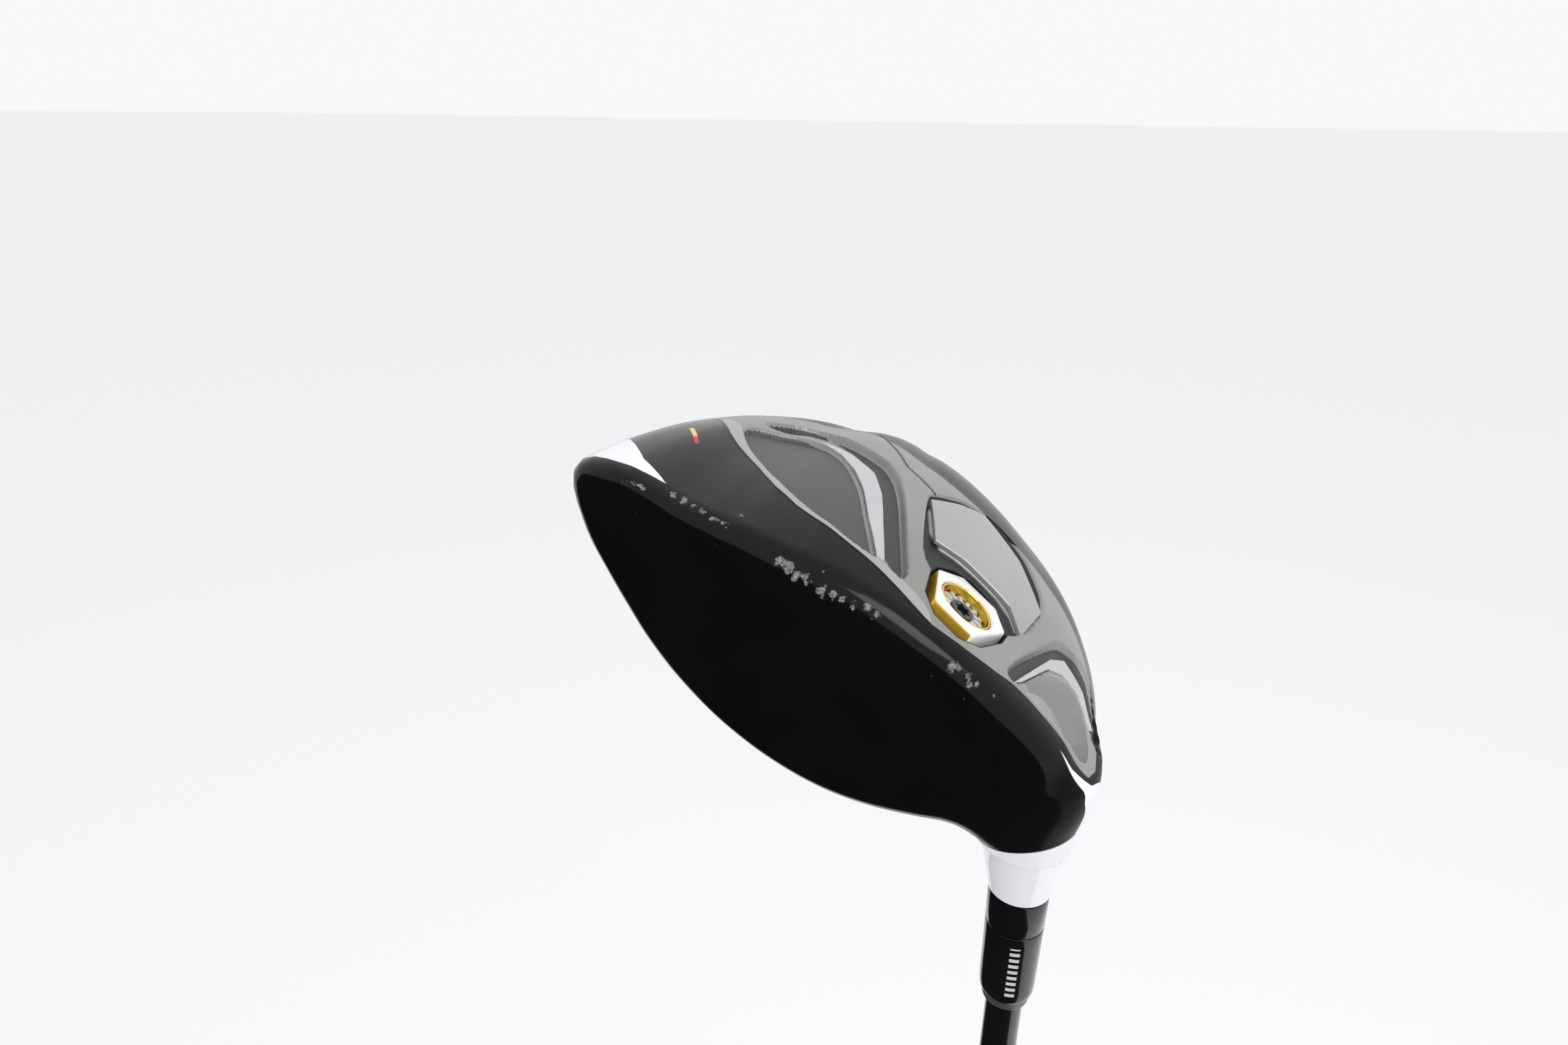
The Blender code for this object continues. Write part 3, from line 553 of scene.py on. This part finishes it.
for node, paint in (("grip_tape", "tape"), ("shaft_tip_plug", "plug"), ("hosel_screw", "steel"),
                    ("hosel_washer", "steel"), ("screw_retainer", "plastic"), ("weight_clip", "steel"),
                    ("weight_insert", "steel")):
    for material_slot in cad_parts[node].material_slots:
        material_slot.material = PAINTS[paint]


# ---- head shell ----------------------------------------------------------------------------------------
def spread_rays(turn, spread):
    return np.stack([np.sin(spread) * np.cos(turn), -np.cos(spread), np.sin(spread) * np.sin(turn)], -1)


# angles round the face's axis, close together over the sole and the heel
TURN = np.radians(np.concatenate([
    np.arange(-150, -8, 0.6), np.arange(-8, 150, 2.5), np.arange(150, 209.9, 0.8)]))
SCAN = np.linspace(0.2, 1.4, 240)
scan_grid = np.stack(np.meshgrid(TURN, SCAN, indexing="ij"), -1).reshape(-1, 2)
scan_rays = spread_rays(scan_grid[:, 0], scan_grid[:, 1])
scan_body, scan_face = body_and_face(cast(RAY_FROM, scan_rays, plain_field))
# the angle at which each ring of rays passes from the face to the body, evened out
EDGE = SCAN[(scan_body > scan_face).reshape(len(TURN), -1).argmax(1)]
EDGE = np.convolve(np.concatenate([EDGE[-3:], EDGE, EDGE[:3]]), np.ones(7) / 7, "valid")
SEAM = EDGE * 0.84  # between the face plate and the shell
DEEP = 2.4  # thickness of the face plate
RECESS = DEEP + 0.2


def relief(p):
    """How far the sole's detail stands above the plain surface, in millimetres."""
    xy, height = p[:, :2], np.zeros(len(p))
    strip = signed(xy, rounded(STRIP, 1))
    height += 0.22 * ramp(-strip, -0.4, 0.4)
    for outline, depth, wall in ((LEAF, 1.3, 0.4), (CHANNEL, 2.1, 0.45), (HEEL_CHANNEL, 1.9, 0.7),
                                 (TOE_ACCENT, 1.0, 0.12), (HEEL_ACCENT, 1.0, 0.12)):
        d = signed(xy, rounded(grown(outline, 0.15), 2 if depth > 1.0 else 0))
        height = np.minimum(height, 0.22 - (0.22 + depth) * ramp(-d, -wall, wall))
    groove = signed(xy, rounded(GROOVE, 2))
    pad = signed(xy, rounded(grown(BADGE, 0.5), 1))
    height = np.where(groove < 0.45, np.minimum(height, -1.5 * ramp(-groove, -0.45, 0.45)), height)
    height = np.where(pad < 0.4, height * ramp(pad, -0.4, 0.4) - 0.9 * ramp(-pad, -0.4, 0.4), height)
    return height * ramp(p[:, 2], 30, 26)


def ray_shell(name, rows, ends, material, detail=None):
    """A closed mesh of rings round the face's axis. Rows hold (angle from the axis, lift off the surface),
    and rows that aren't sunk take the detail too."""
    spread = np.stack([r for r, _ in rows])
    lift = np.concatenate([np.full(len(TURN), d) for _, d in rows])
    rays = spread_rays(np.broadcast_to(TURN, spread.shape).ravel(), spread.ravel())
    points = cast(RAY_FROM, rays, head_field)
    if detail:
        lift = lift + np.where(lift < 0, 0, detail(points))
    points += normals(points, head_field) * lift[:, None]
    columns, count = len(TURN), len(rows)
    first, last = columns * count, columns * count + 1
    faces = grid_faces(count, columns)
    faces += [(first, (i + 1) % columns, i) for i in range(columns)]
    faces += [(last, first - columns + i, first - columns + (i + 1) % columns) for i in range(columns)]
    return make(name, moved(np.concatenate([points, ends]), TO_HEAD), faces, material)


def head_shell():
    fine = np.radians(0.5)
    start = EDGE + math.radians(7)
    far = math.radians(134)
    count = int((far - start.min()) / fine)
    rows = [(SEAM * k, -RECESS) for k in (0.3, 0.6, 0.85)] + [(SEAM - 0.0004, -RECESS)]
    rows += [(SEAM + (start - SEAM) * k, 0) for k in np.linspace(0, 1, 26)]
    rows += [(start + (far - start) * k, 0) for k in np.linspace(0, 1, count)[1:]]
    rows += [(far + np.radians(k) + 0 * EDGE, 0) for k in (*range(1, 19), 21, 24, 28, 32, 36, 40, 43)]
    ends = cast(RAY_FROM, np.array([[0.0, -1, 0], [0, 1, 0]]), head_field)
    ends[0, 1] += RECESS
    return ray_shell("head_body_look", rows, ends, PAINTS["head"], relief)


def face_lens():
    rows = [(SEAM * k, 0) for k in np.linspace(0, 1, 15)[1:-1]] + [(SEAM - 0.0012, 0), (SEAM - 0.0006, -0.06)]
    rows += [(SEAM - 0.0006, -DEEP)] + [(SEAM * k, -DEEP) for k in (0.7, 0.35)]
    ends = np.repeat(cast(RAY_FROM, np.array([[0.0, -1, 0]]), head_field), 2, 0)
    ends[1, 1] += DEEP
    return ray_shell("face_plate_look", rows, ends, PAINTS["face"])


def prism(name, outline, low, high, matrix):
    """A closed prism in millimetres; its end heights are numbers or (height, slope X, slope Y)."""
    pts = np.asarray(outline, float)
    rows = []
    for h, u, v in ((e, 0, 0) if isinstance(e, (int, float)) else e for e in (low, high)):
        rows.append(np.column_stack([pts, h + pts @ np.array([u, v])]))
    return make(name, moved(np.concatenate(rows), matrix), capped_faces(2, len(pts)), None)


def circle(radius, count=48):
    a = turns(count)
    return np.column_stack([np.cos(a) * radius, np.sin(a) * radius])


def cut(obj, *cutters):
    for cutter in cutters:
        mod = obj.modifiers.new("cut", "BOOLEAN")
        mod.operation = "DIFFERENCE"
        mod.solver = "EXACT"
        mod.object = cutter
    mesh = bpy.data.meshes.new_from_object(obj.evaluated_get(bpy.context.evaluated_depsgraph_get()))
    obj.modifiers.clear()
    obj.data = mesh
    for cutter in cutters:
        bpy.data.objects.remove(cutter)
    return obj


AXIS_TO_HEAD = Matrix.Translation(-HEAD_AT) @ Matrix.Scale(0.001, 4)  # millimetres from the butt
head = head_shell()
cut(head,
    prism("weight_pocket", rounded(grown(WEIGHT_HEX, 1.7), 1), -12.0, 6.0, TO_HEAD @ HEX_TO_ADDRESS),
    prism("insert_hole", circle(4.3), -14.4, -5.0, WEIGHT_TO_HEAD),
    prism("heel_pocket", rounded(HEEL_POCKET, 1), -31.0, HEEL_FLOOR, TO_HEAD),
    prism("screw_port", circle(4.0), CLUB_LENGTH - 24.4, CLUB_LENGTH - 10.0, AXIS_TO_HEAD))

spots = moved(positions(head.data), FROM_HEAD)
flat = spots[:, :2]
below = spots[:, 2] - SOLE_TOP


def sole_paint(name, distance):
    """A signed distance over the sole, pushed well above 0 elsewhere."""
    attribute(head.data, name, distance + 20 * (below > 0))


panel_edge = signed(flat, rounded(BAND_BACK + PANEL_BACK, 1))
# the dark skirt starts behind the middle of the head at the toe, and further forward to the heel
skirt_front = 46 + 1.2 * np.minimum(spots[:, 0], 0)
attribute(head.data, "panel", np.maximum(panel_edge, below))
attribute(head.data, "skirt", np.maximum(-panel_edge, skirt_front - spots[:, 1]))
sole_paint("strip", signed(flat, rounded(STRIP, 1)))
sole_paint("leaf", signed(flat, rounded(LEAF, 2)))
sole_paint("channel", np.minimum(signed(flat, rounded(CHANNEL, 2)), signed(flat, rounded(HEEL_CHANNEL, 2))))
under_badge = signed(flat, rounded(grown(BADGE, 0.5), 1))
sole_paint("groove", np.maximum(signed(flat, rounded(GROOVE, 2)), -under_badge))
sole_paint("thin", np.sqrt(to_line(flat, THIN_LINE)) - 0.45)
local = moved(spots, WEIGHT_TO_ADDRESS.inverted())
# painted shade: marks the weight pocket's walls and floor, which are painted near black to stand in for the
# shade in the recess
painted_shade_well = signed(local[:, :2] * [1, -1] + [0, WEIGHT_BORE_Y], rounded(grown(WEIGHT_HEX, 1.9), 1))
attribute(head.data, "painted_shade_well", np.maximum(painted_shade_well, np.abs(local[:, 2] + 7) - 9))
attribute(head.data, "heel_floor", np.maximum(signed(flat, rounded(grown(HEEL_POCKET, 0.1), 1)), below))
hosel = solid_and_hosel(spots, HOSEL_TOP)[1]
# white: the hosel, a band over the top between the face and the crown panel, and two wedges
top_band = np.maximum(np.maximum(-below, -1.5 - spots[:, 1]), spots[:, 1] - 12)
white = np.minimum(hosel - 1.2, top_band)
for wedge in (TOE_WEDGE, HEEL_WEDGE):
    white = np.minimum(white, np.maximum(signed(flat, wedge), below - 2))
attribute(head.data, "white", white)
tick_start, tick_end = (np.array(p, float) for p in TICK)
tick_run = tick_end - tick_start
attribute(head.data, "tick", np.maximum(np.sqrt(to_line(flat, TICK)) - 0.5, below))
attribute(head.data, "tick_along", ((flat - tick_start) @ tick_run) / (tick_run @ tick_run))
chip = np.full(len(spots), 50.0)
for place, radius in CHIPS:
    chip = np.minimum(chip, np.linalg.norm(spots - np.array(place), axis=1) - radius * 0.6)
attribute(head.data, "chip", np.clip(chip, -2, 6))
edge_line = np.array([place for place, _ in CHIPS])
attribute(head.data, "wear", np.linalg.norm(spots[:, None] - edge_line[None, ::3], axis=2).min(1))
finish_piece(head, "head", "head_metal", "head_body", sharp=48)

face = face_lens()
finish_piece(face, "head", "face_black", "face_plate")


# ---- bonded pieces of the skin -----------------------------------------------------------------------
ROUNDING = 0.15  # width and drop of the rounded rim
PATCH_FROM_Z, PATCH_REACH = 30.0, 60.0


def plan_mesh(outline, step):
    """A flat mesh inside an outline with points about a step apart: the points, faces and rim."""
    outline = np.asarray(outline, float)
    area = (outline[:, 0] * np.roll(outline[:, 1], -1) - np.roll(outline[:, 0], -1) * outline[:, 1]).sum()
    outline = outline if area > 0 else outline[::-1]
    fine = []
    for a, b in zip(outline, np.roll(outline, -1, 0)):
        count = max(int(np.linalg.norm(b - a) / step + 0.999), 1)
        fine += [a + (b - a) * k / count for k in range(count)]
    rim = np.array(fine)
    low, high = rim.min(0), rim.max(0)
    xs, ys = np.arange(low[0], high[0], step), np.arange(low[1], high[1], step)
    inner = np.stack(np.meshgrid(xs, ys, indexing="ij"), -1).reshape(-1, 2)
    inner = inner[signed(inner, rim) < -ROUNDING - step * 0.6]
    count = len(rim)
    plan = np.concatenate([rim, grown(rim, -ROUNDING), inner])
    edges = [(k * count + i, k * count + (i + 1) % count) for k in (0, 1) for i in range(count)]
    verts, _, faces, _, _, _ = delaunay_2d_cdt([Vector(p) for p in plan], edges, [], 0, 1e-7)
    plan = np.array([tuple(v) for v in verts])
    faces = [tuple(f) for f in faces if signed(plan[list(f)].mean(0)[None], rim)[0] < 0]
    return plan, faces, rim


def patch(name, outline, up, thick, lift, step, material):
    """A thin closed piece over an outline on the head's skin, with its edge rounded."""
    plan, faces, rim = plan_mesh(outline, step)
    start = np.column_stack([plan, np.full(len(plan), PATCH_FROM_Z)])
    top = cast(start, np.broadcast_to(np.array([0.0, 0, up]), start.shape), head_field, PATCH_REACH)
    normal = normals(top, head_field)
    on_rim = np.sqrt(to_line(plan, rim, True)) < 0.05
    top = top + normal * np.where(on_rim, lift - ROUNDING, lift)[:, None]
    bottom = top - normal * thick
    total = len(plan)
    sides = dict.fromkeys((i, k) for f in faces for i, k in zip(f, f[1:] + f[:1]))
    walls = [(i, k, k + total, i + total) for i, k in sides if (k, i) not in sides]
    kept = sorted({i + side for f in faces for i in f for side in (0, total)})
    index = {old: new for new, old in enumerate(kept)}
    solid_faces = faces + [tuple(i + total for i in f[::-1]) for f in faces] + walls
    points = np.concatenate([top, bottom])[kept]
    return make(name, moved(points, TO_HEAD), [tuple(index[i] for i in f) for f in solid_faces], material)


def crown_outline(front):
    """The head's outline at one height, drawn in to 0.9 of its size and cut off straight at the front."""
    centre = np.array([4.0, 36.0, 42.0])
    around = np.linspace(-math.pi, math.pi, 44, endpoint=False)
    level = cast(centre, np.stack([np.cos(around), np.sin(around), 0 * around], -1), plain_field)
    pts = [(centre[0] + (x - centre[0]) * 0.9, centre[1] + (y - centre[1]) * 0.9) for x, y, _ in level]
    kept = []
    for (ax, ay), (bx, by) in zip(pts, pts[1:] + pts[:1]):
        if ay >= front:
            kept.append((ax, ay))
        if (ay >= front) != (by >= front):
            kept.append((ax + (bx - ax) * (front - ay) / (by - ay), front))
    return kept


for name, outline, up, thick, lift, step, paint, slot in (
        ("crown_panel", crown_outline(8.0), 1, 0.7, 0.03, 1.6, "carbon", "crown_carbon"),
        ("sole_badge", BADGE, -1, 0.7, 0.05, 0.9, "satin", "satin_grey"),
        ("toe_accent", TOE_ACCENT, -1, 0.7, -0.1, 0.7, "silver", "accent_silver"),
        ("heel_accent", HEEL_ACCENT, -1, 0.7, -0.1, 0.7, "silver", "accent_silver")):
    piece = patch(f"{name}_look", outline, up, thick, lift, step, PAINTS[paint])
    finish_piece(piece, "head", slot, name)


# ---- turned pieces on the shaft axis ------------------------------------------------------------------
def key_shape(angle, keys):
    """1 on each key round a circle, 0 between."""
    return 1 - ramp(np.abs(((angle * keys / (2 * math.pi) + 0.5) % 1) - 0.5), 0.2, 0.3)


def lathe(name, profile, material, start, count=96, keys=12):
    """A closed solid of revolution about Z. The profile holds (radius, height) or (root, tip, height) rows
    in millimetres, the second for keyed rows, from the inside round to the inside again."""
    a = turns(count)
    key = key_shape(a, keys)
    points = []
    for row in profile:
        r = row[0] + (row[1] - row[0]) * key if len(row) == 3 else row[0] + 0 * a
        points.append(np.column_stack([np.cos(a) * r, np.sin(a) * r, 0 * a + row[-1] - start]))
    faces = grid_faces(len(profile), count, wrap=True)
    return make(name, np.concatenate(points) / 1000, faces, material, Vector((0, 0, start / 1000)))


def from_ground(profile):
    """Rows whose heights run from the ground up the shaft, as heights from the butt."""
    return [(*row[:-1], CLUB_LENGTH - row[-1]) for row in profile]


sleeve = lathe("loft_sleeve_look", from_ground([
    (2.45, 31.0), (2.45, 40.5), (3.2, 41.3), (4.4, 41.4), (4.4, 65.2), (6.15, 65.2), (6.33, 65.1),
    (6.4, 64.9), (6.45, 57.0), (6.38, 56.75), (6.2, 56.7), (4.9, 5.95, 56.69), (4.9, 5.95, 54.3),
    (5.45, 54.2), (5.45, 33.0), (4.6, 31.0)]), PAINTS["gloss"], CLUB_LENGTH - 60, count=144)
finish_piece(sleeve, "club_shaft", "gloss_black", "loft_sleeve")

ferrule = lathe("ferrule_look", from_ground(
    [(4.4, 65.5), (4.4, 84.9), (5.4, 84.9), (5.62, 84.8), (5.8, 84.5), (5.93, 84.1), (6.0, 83.6), (6.1, 82.0)]
    + [(6.1 + 0.25 * k / 8, 82.0 - 2.0 * k) for k in range(1, 9)] + [(6.3, 65.6), (6.15, 65.5)]),
    PAINTS["ferrule"], CLUB_LENGTH - 75, count=128)
at = positions(ferrule.data) * 1000
MARK_TURN = math.radians(-78)  # where the ferrule's short bars are
from_mark = (np.arctan2(at[:, 1], at[:, 0]) - MARK_TURN + math.pi) % (2 * math.pi) - math.pi
attribute(ferrule.data, "around", from_mark * 6.2)
attribute(ferrule.data, "along", at[:, 2] + 7.5)
finish_piece(ferrule, "club_shaft", "gloss_black", "ferrule")

ring = lathe("ferrule_ring_look", from_ground([
    (4.4, 85.2), (4.4, 87.2), (4.9, 87.2), (5.1, 87.1), (5.2, 86.85), (5.2, 85.4), (5.1, 85.2)]),
    PAINTS["ring"], CLUB_LENGTH - 86)
finish_piece(ring, "club_shaft", "ring_grey", "ferrule_ring")

SHAFT_WALL = 1.15  # at the butt
SHAFT_R = [(7.65, 4.2), (7.05, 270.0), (5.5, 700.0), (4.4, 960.0), (4.1, 1060.0), (4.1, CLUB_LENGTH - 42.2)]
shaft = lathe("shaft_look", [(SHAFT_R[0][0] - SHAFT_WALL, 4.2)] + SHAFT_R + [(3.0, SHAFT_R[-1][1])],
              PAINTS["shaft"], 600.0, count=80)
finish_piece(shaft, "club_shaft", "shaft_black", "shaft")

cap = lathe("grip_cap_look", [
    (0.001, 0), (1.6, 0), (1.7, 0.35), (2.6, 0.35), (2.7, 0.0), (12.9, 0.0), (13.5, 0.2), (13.85, 0.7),
    (13.9, 3.4), (0.001, 3.4)], PAINTS["rubber"], 0.0)
finish_piece(cap, "club_shaft", "grip_rubber", "grip_cap")

# radius and height up the grip
GRIP_OUT = [(13.9, 3.7), (13.8, 18), (13.0, 60), (11.7, 125), (10.4, 195), (9.3, 255), (9.0, 266), (8.5, 268)]
GRIP_BORE = [(7.06 + 0.62, 268), (7.67 + 0.6, 3.7)]


def grip_mesh():
    """The grip, with shallow slanted grooves crossing between two plain bands."""
    count, heights = 120, np.concatenate([np.arange(3.7, 266, 0.9), [266, 267.2, 268]])
    a = turns(count)
    radius = np.interp(heights, [h for _, h in GRIP_OUT], [r for r, _ in GRIP_OUT])
    hh, aa = np.meshgrid(heights, a, indexing="ij")
    lines = [np.abs(((aa * 9 / (2 * math.pi) + side * hh / 34) % 1) - 0.5) for side in (1, -1)]
    groove = 1 - ramp(0.5 - np.maximum(*lines), 0.035, 0.085)
    band = ramp(hh, 20, 22) * ramp(hh, 250, 248) * (1 - ramp(hh, 128, 129) * ramp(hh, 139, 138))
    r = radius[:, None] - 0.35 * groove * band
    r -= 0.4 * sum(1 - ramp(np.abs(hh - at), 0.3, 1.1) for at in (12.0, 15.5, 130.0, 137.0, 256.0, 260.0))
    outer = np.stack([np.cos(aa) * r, np.sin(aa) * r, hh], -1).reshape(-1, 3)
    inner = [np.column_stack([np.cos(a) * b, np.sin(a) * b, 0 * a + h]) for b, h in GRIP_BORE]
    points = np.concatenate([outer, *inner]) / 1000
    faces = grid_faces(len(heights) + len(GRIP_BORE), count, wrap=True)
    return make("grip_look", points, faces, PAINTS["rubber"], Vector((0, 0, 0)))


finish_piece(grip_mesh(), "club_shaft", "grip_rubber", "grip")


# ---- hosel neck ----------------------------------------------------------------------------------------
def neck():
    """The white neck of the hosel round the loft sleeve, with keyways inside its rim."""
    count, low = 168, 42.0
    a = turns(count)
    across, back = np.array([math.sin(LIE), 0, math.cos(LIE)]), np.array([0.0, 1, 0])
    out = np.outer(np.cos(a), across) + np.outer(np.sin(a), back)
    foot = np.array([AXIS_X, 0, 0])
    rows = []
    for s in np.concatenate([np.arange(low, HOSEL_TOP - 0.6, 0.6), [HOSEL_TOP - 0.5, HOSEL_TOP - 0.35]]):
        on_axis = foot + SHAFT_UP * s
        reach = np.linalg.norm(cast(on_axis, out, lambda p: head_field(p, 80.0), 14.0) - on_axis, axis=1)
        sink = 0.06 * (1 - ramp(s, low, low + 2.0))
        rows.append((reach - sink, s))
    rim = rows[-1][0]
    rows += [(rim - 0.06, HOSEL_TOP - 0.14), (rim - 0.2, HOSEL_TOP), (0 * a + 6.42, HOSEL_TOP)]
    keyway = 5.95 + 0.33 * key_shape(a, 12)
    rows += [(keyway, HOSEL_TOP - 0.25), (keyway, 53.7), (0 * a + 5.75, 53.6), (0 * a + 5.75, low)]
    points = np.concatenate([foot + SHAFT_UP * s + out * r[:, None] for r, s in rows])
    faces = grid_faces(len(rows), count, wrap=True)
    return make("hosel_neck", moved(points, TO_HEAD), faces, PAINTS["white"])


finish_piece(neck(), "head", "head_metal", "head_body")


# ---- sole weight ---------------------------------------------------------------------------------------
def weight_lathe(name, profile, material):
    """A turned piece on the axis of the weight's screw."""
    piece = lathe(name, profile, material, 0.0)
    piece.data.transform(WEIGHT_TO_HEAD @ Matrix.Scale(1000, 4))
    piece.location = HEAD_AT
    return piece


def arc_corners(outline, radius, count=5):
    """The outline with each corner replaced by a short arc."""
    pts, made = np.asarray(outline, float), []
    for i, p in enumerate(pts):
        a, b = pts[i - 1] - p, pts[(i + 1) % len(pts)] - p
        a, b = a / np.linalg.norm(a), b / np.linalg.norm(b)
        half = math.acos(np.clip(a @ b, -1, 1)) / 2
        back = radius / math.tan(half)
        p0, p1 = p + a * back, p + b * back
        for k in np.linspace(0, 1, count):
            made.append((1 - k) ** 2 * p0 + 2 * k * (1 - k) * p + k * k * p1)
    return np.array(made)


def weight_housing():
    """The hexagon, white outside, with gold on the walls that face the toe and the front."""
    rings = ((0.9, 5.6), (0.12, 0.75), (0.05, 0.45), (-0.06, 0.22), (-0.22, 0.07), (-0.42, 0.0))
    rows = []
    for by, h in rings:
        xy = arc_corners(grown(WEIGHT_HEX, by), 0.9 if h > 0.1 else 0.7)
        rows.append(np.column_stack([xy[:, 0], WEIGHT_BORE_Y - xy[:, 1], np.full(len(xy), -h)]))
    obj = make("weight_housing_look", moved(np.concatenate(rows), WEIGHT_TO_HEAD),
               capped_faces(len(rows), len(rows[0])), PAINTS["weight_white"])
    obj.data.materials.append(PAINTS["weight_gold"])
    bore = [(0.001, -3.6), (6.1, -3.6), (6.1, -0.3), (6.35, 0.0), (6.35, 2.0), (0.001, 2.0)]
    cut(obj,
        weight_lathe("housing_bore", bore, None),
        prism("housing_hole", circle(2.6, 40), -7, -3, WEIGHT_TO_HEAD),
        prism("clip_room", circle(3.9, 40), -7, -4.5, WEIGHT_TO_HEAD))
    back = WEIGHT_TO_HEAD.inverted()
    turn = back.to_3x3()
    for face in obj.data.polygons:
        normal, centre = (turn @ face.normal).normalized(), back @ face.center
        wall = normal.z < 0.55 and math.hypot(centre.x, centre.y) > 6.4
        facing = math.degrees(math.atan2(normal.y, normal.x))
        face.material_index = 1 if wall and -15 < facing < 115 else 0
    obj.data.update()
    return obj


finish_piece(weight_housing(), "sole_weight", "weight_white", "weight_housing", sharp=30)
weight_ring = weight_lathe("weight_ring_look", [
    (5.5, -3.3), (5.97, -3.3), (5.97, -0.35), (5.85, -0.22), (5.62, -0.22), (5.5, -0.35)], PAINTS["gold"])
finish_piece(weight_ring, "sole_weight", "gold", "weight_ring")


def toothed_disc():
    """The weight's screw: a disc with a ring of slots, and a raised hub with a six-lobed socket."""
    a = turns(192)
    flat_ring = 0 * a
    slot = ramp(np.abs(((a * 14 / (2 * math.pi)) % 1) - 0.5), 0.20, 0.27)
    socket = 1.45 + 0.32 * np.cos(6 * a)
    hub = [(0.02, -2.9), (socket * 0.6, -2.85), (socket - 0.04, -2.8), (socket + 0.04, -1.45),
           (socket + 0.15, -1.4), (2.45, -1.4), (2.6, -1.5), (2.68, -1.95), (3.0, -2.0)]
    teeth = []
    for r in np.linspace(3.05, 4.95, 10):
        edge = ramp(r, 3.0, 3.25) * ramp(5.0, r, r + 0.2)
        teeth.append((r, -1.62 - 0.75 * slot * ramp(r, 3.1, 3.4) - 0.05 * (1 - edge)))
    teeth += [(5.1, -1.8 - 0.6 * slot), (5.2, -1.95 - 0.45 * slot)]
    stem = [(5.2, -3.3), (2.2, -3.3), (2.2, -12.8), (2.0, -13), (0.02, -13)]
    rows = hub + teeth + stem
    points = np.concatenate([np.column_stack([np.cos(a) * r, np.sin(a) * r, flat_ring + z]) for r, z in rows])
    obj = make("weight_screw_look", moved(points, WEIGHT_TO_HEAD), capped_faces(len(rows), len(a)),
               PAINTS["tooth"])
    obj.data.materials.append(PAINTS["hub"])
    back = WEIGHT_TO_HEAD.inverted()
    for face in obj.data.polygons:
        centre = back @ face.center
        face.material_index = 1 if math.hypot(centre.x, centre.y) < 2.75 and centre.z > -3.0 else 0
    obj.data.update()
    return obj


finish_piece(toothed_disc(), "weight_screw", "steel", "weight_screw", sharp=30)


# ---- floor, light and camera ---------------------------------------------------------------------------
def stage_material(name, colour, rough=0.8):
    made = bpy.data.materials.new(name)
    made.use_nodes = True
    shader = made.node_tree.nodes["Principled BSDF"]
    shader.inputs["Base Color"].default_value = (*colour, 1)
    shader.inputs["Roughness"].default_value = rough
    shader.inputs["Specular IOR Level"].default_value = 0.1
    return made


def plane(name, size, material, matrix):
    x, y = size[0] / 2, size[1] / 2
    corners = [(-x, -y, 0), (x, -y, 0), (x, y, 0), (-x, y, 0)]
    obj = make(name, corners, [(0, 1, 2, 3)], material, Vector((0, 0, 0)))
    obj.matrix_world = matrix
    return obj


plane("floor", (400, 400), stage_material("floor_pale", (0.93, 0.93, 0.935)), Matrix())
# a dark card for the face to mirror, where a studio is dark behind the camera
FACE_AT = Vector((-0.047, -0.015, 1.13))
FACE_MIRROR = Vector((-0.447, -0.669, -0.593)).normalized()
card_turn = FACE_MIRROR.to_track_quat("Z", "Y").to_matrix().to_4x4()
card = plane("dark_card", (1.5, 1.5), stage_material("card_black", (0.002, 0.002, 0.002)),
             Matrix.Translation(FACE_AT + FACE_MIRROR * 0.42) @ card_turn)
card.visible_camera = card.visible_diffuse = card.visible_shadow = False

world = bpy.data.worlds.new("studio")
bpy.context.scene.world = world
world.use_nodes = True
world.node_tree.nodes["Background"].inputs["Color"].default_value = (0.93, 0.935, 0.95, 1)
world.node_tree.nodes["Background"].inputs["Strength"].default_value = 1.0
bpy.context.scene.view_settings.view_transform = "Standard"


def area_light(name, at, target, size, energy, colour=(1, 1, 1)):
    data = bpy.data.lights.new(name, "AREA")
    data.shape = "RECTANGLE"
    data.size, data.size_y = size
    data.energy = energy
    data.color = colour
    obj = bpy.data.objects.new(name, data)
    bpy.context.scene.collection.objects.link(obj)
    obj.location = at
    obj.rotation_euler = (Vector(target) - Vector(at)).to_track_quat("-Z", "Y").to_euler()


area_light("key", (0.9, -0.6, 2.4), (0, 0, 1.15), (0.9, 0.9), 12)

camera_data = bpy.data.cameras.new("camera")
camera_data.lens = 22.37
camera_data.sensor_width = 36
camera_data.clip_start = 0.005
camera = bpy.data.objects.new("camera", camera_data)
bpy.context.scene.collection.objects.link(camera)
right = Vector((0.9387, 0.3445, 0.0120)).normalized()
upward = Vector((-0.1438, 0.3596, 0.9220)).normalized()
forward = Vector((-0.3133, 0.8672, -0.3870)).normalized()
camera_turn = Matrix((right, upward, -forward)).transposed().to_4x4()
camera.matrix_world = Matrix.Translation((0.00693, -0.1704, 1.2575)) @ camera_turn
bpy.context.scene.camera = camera
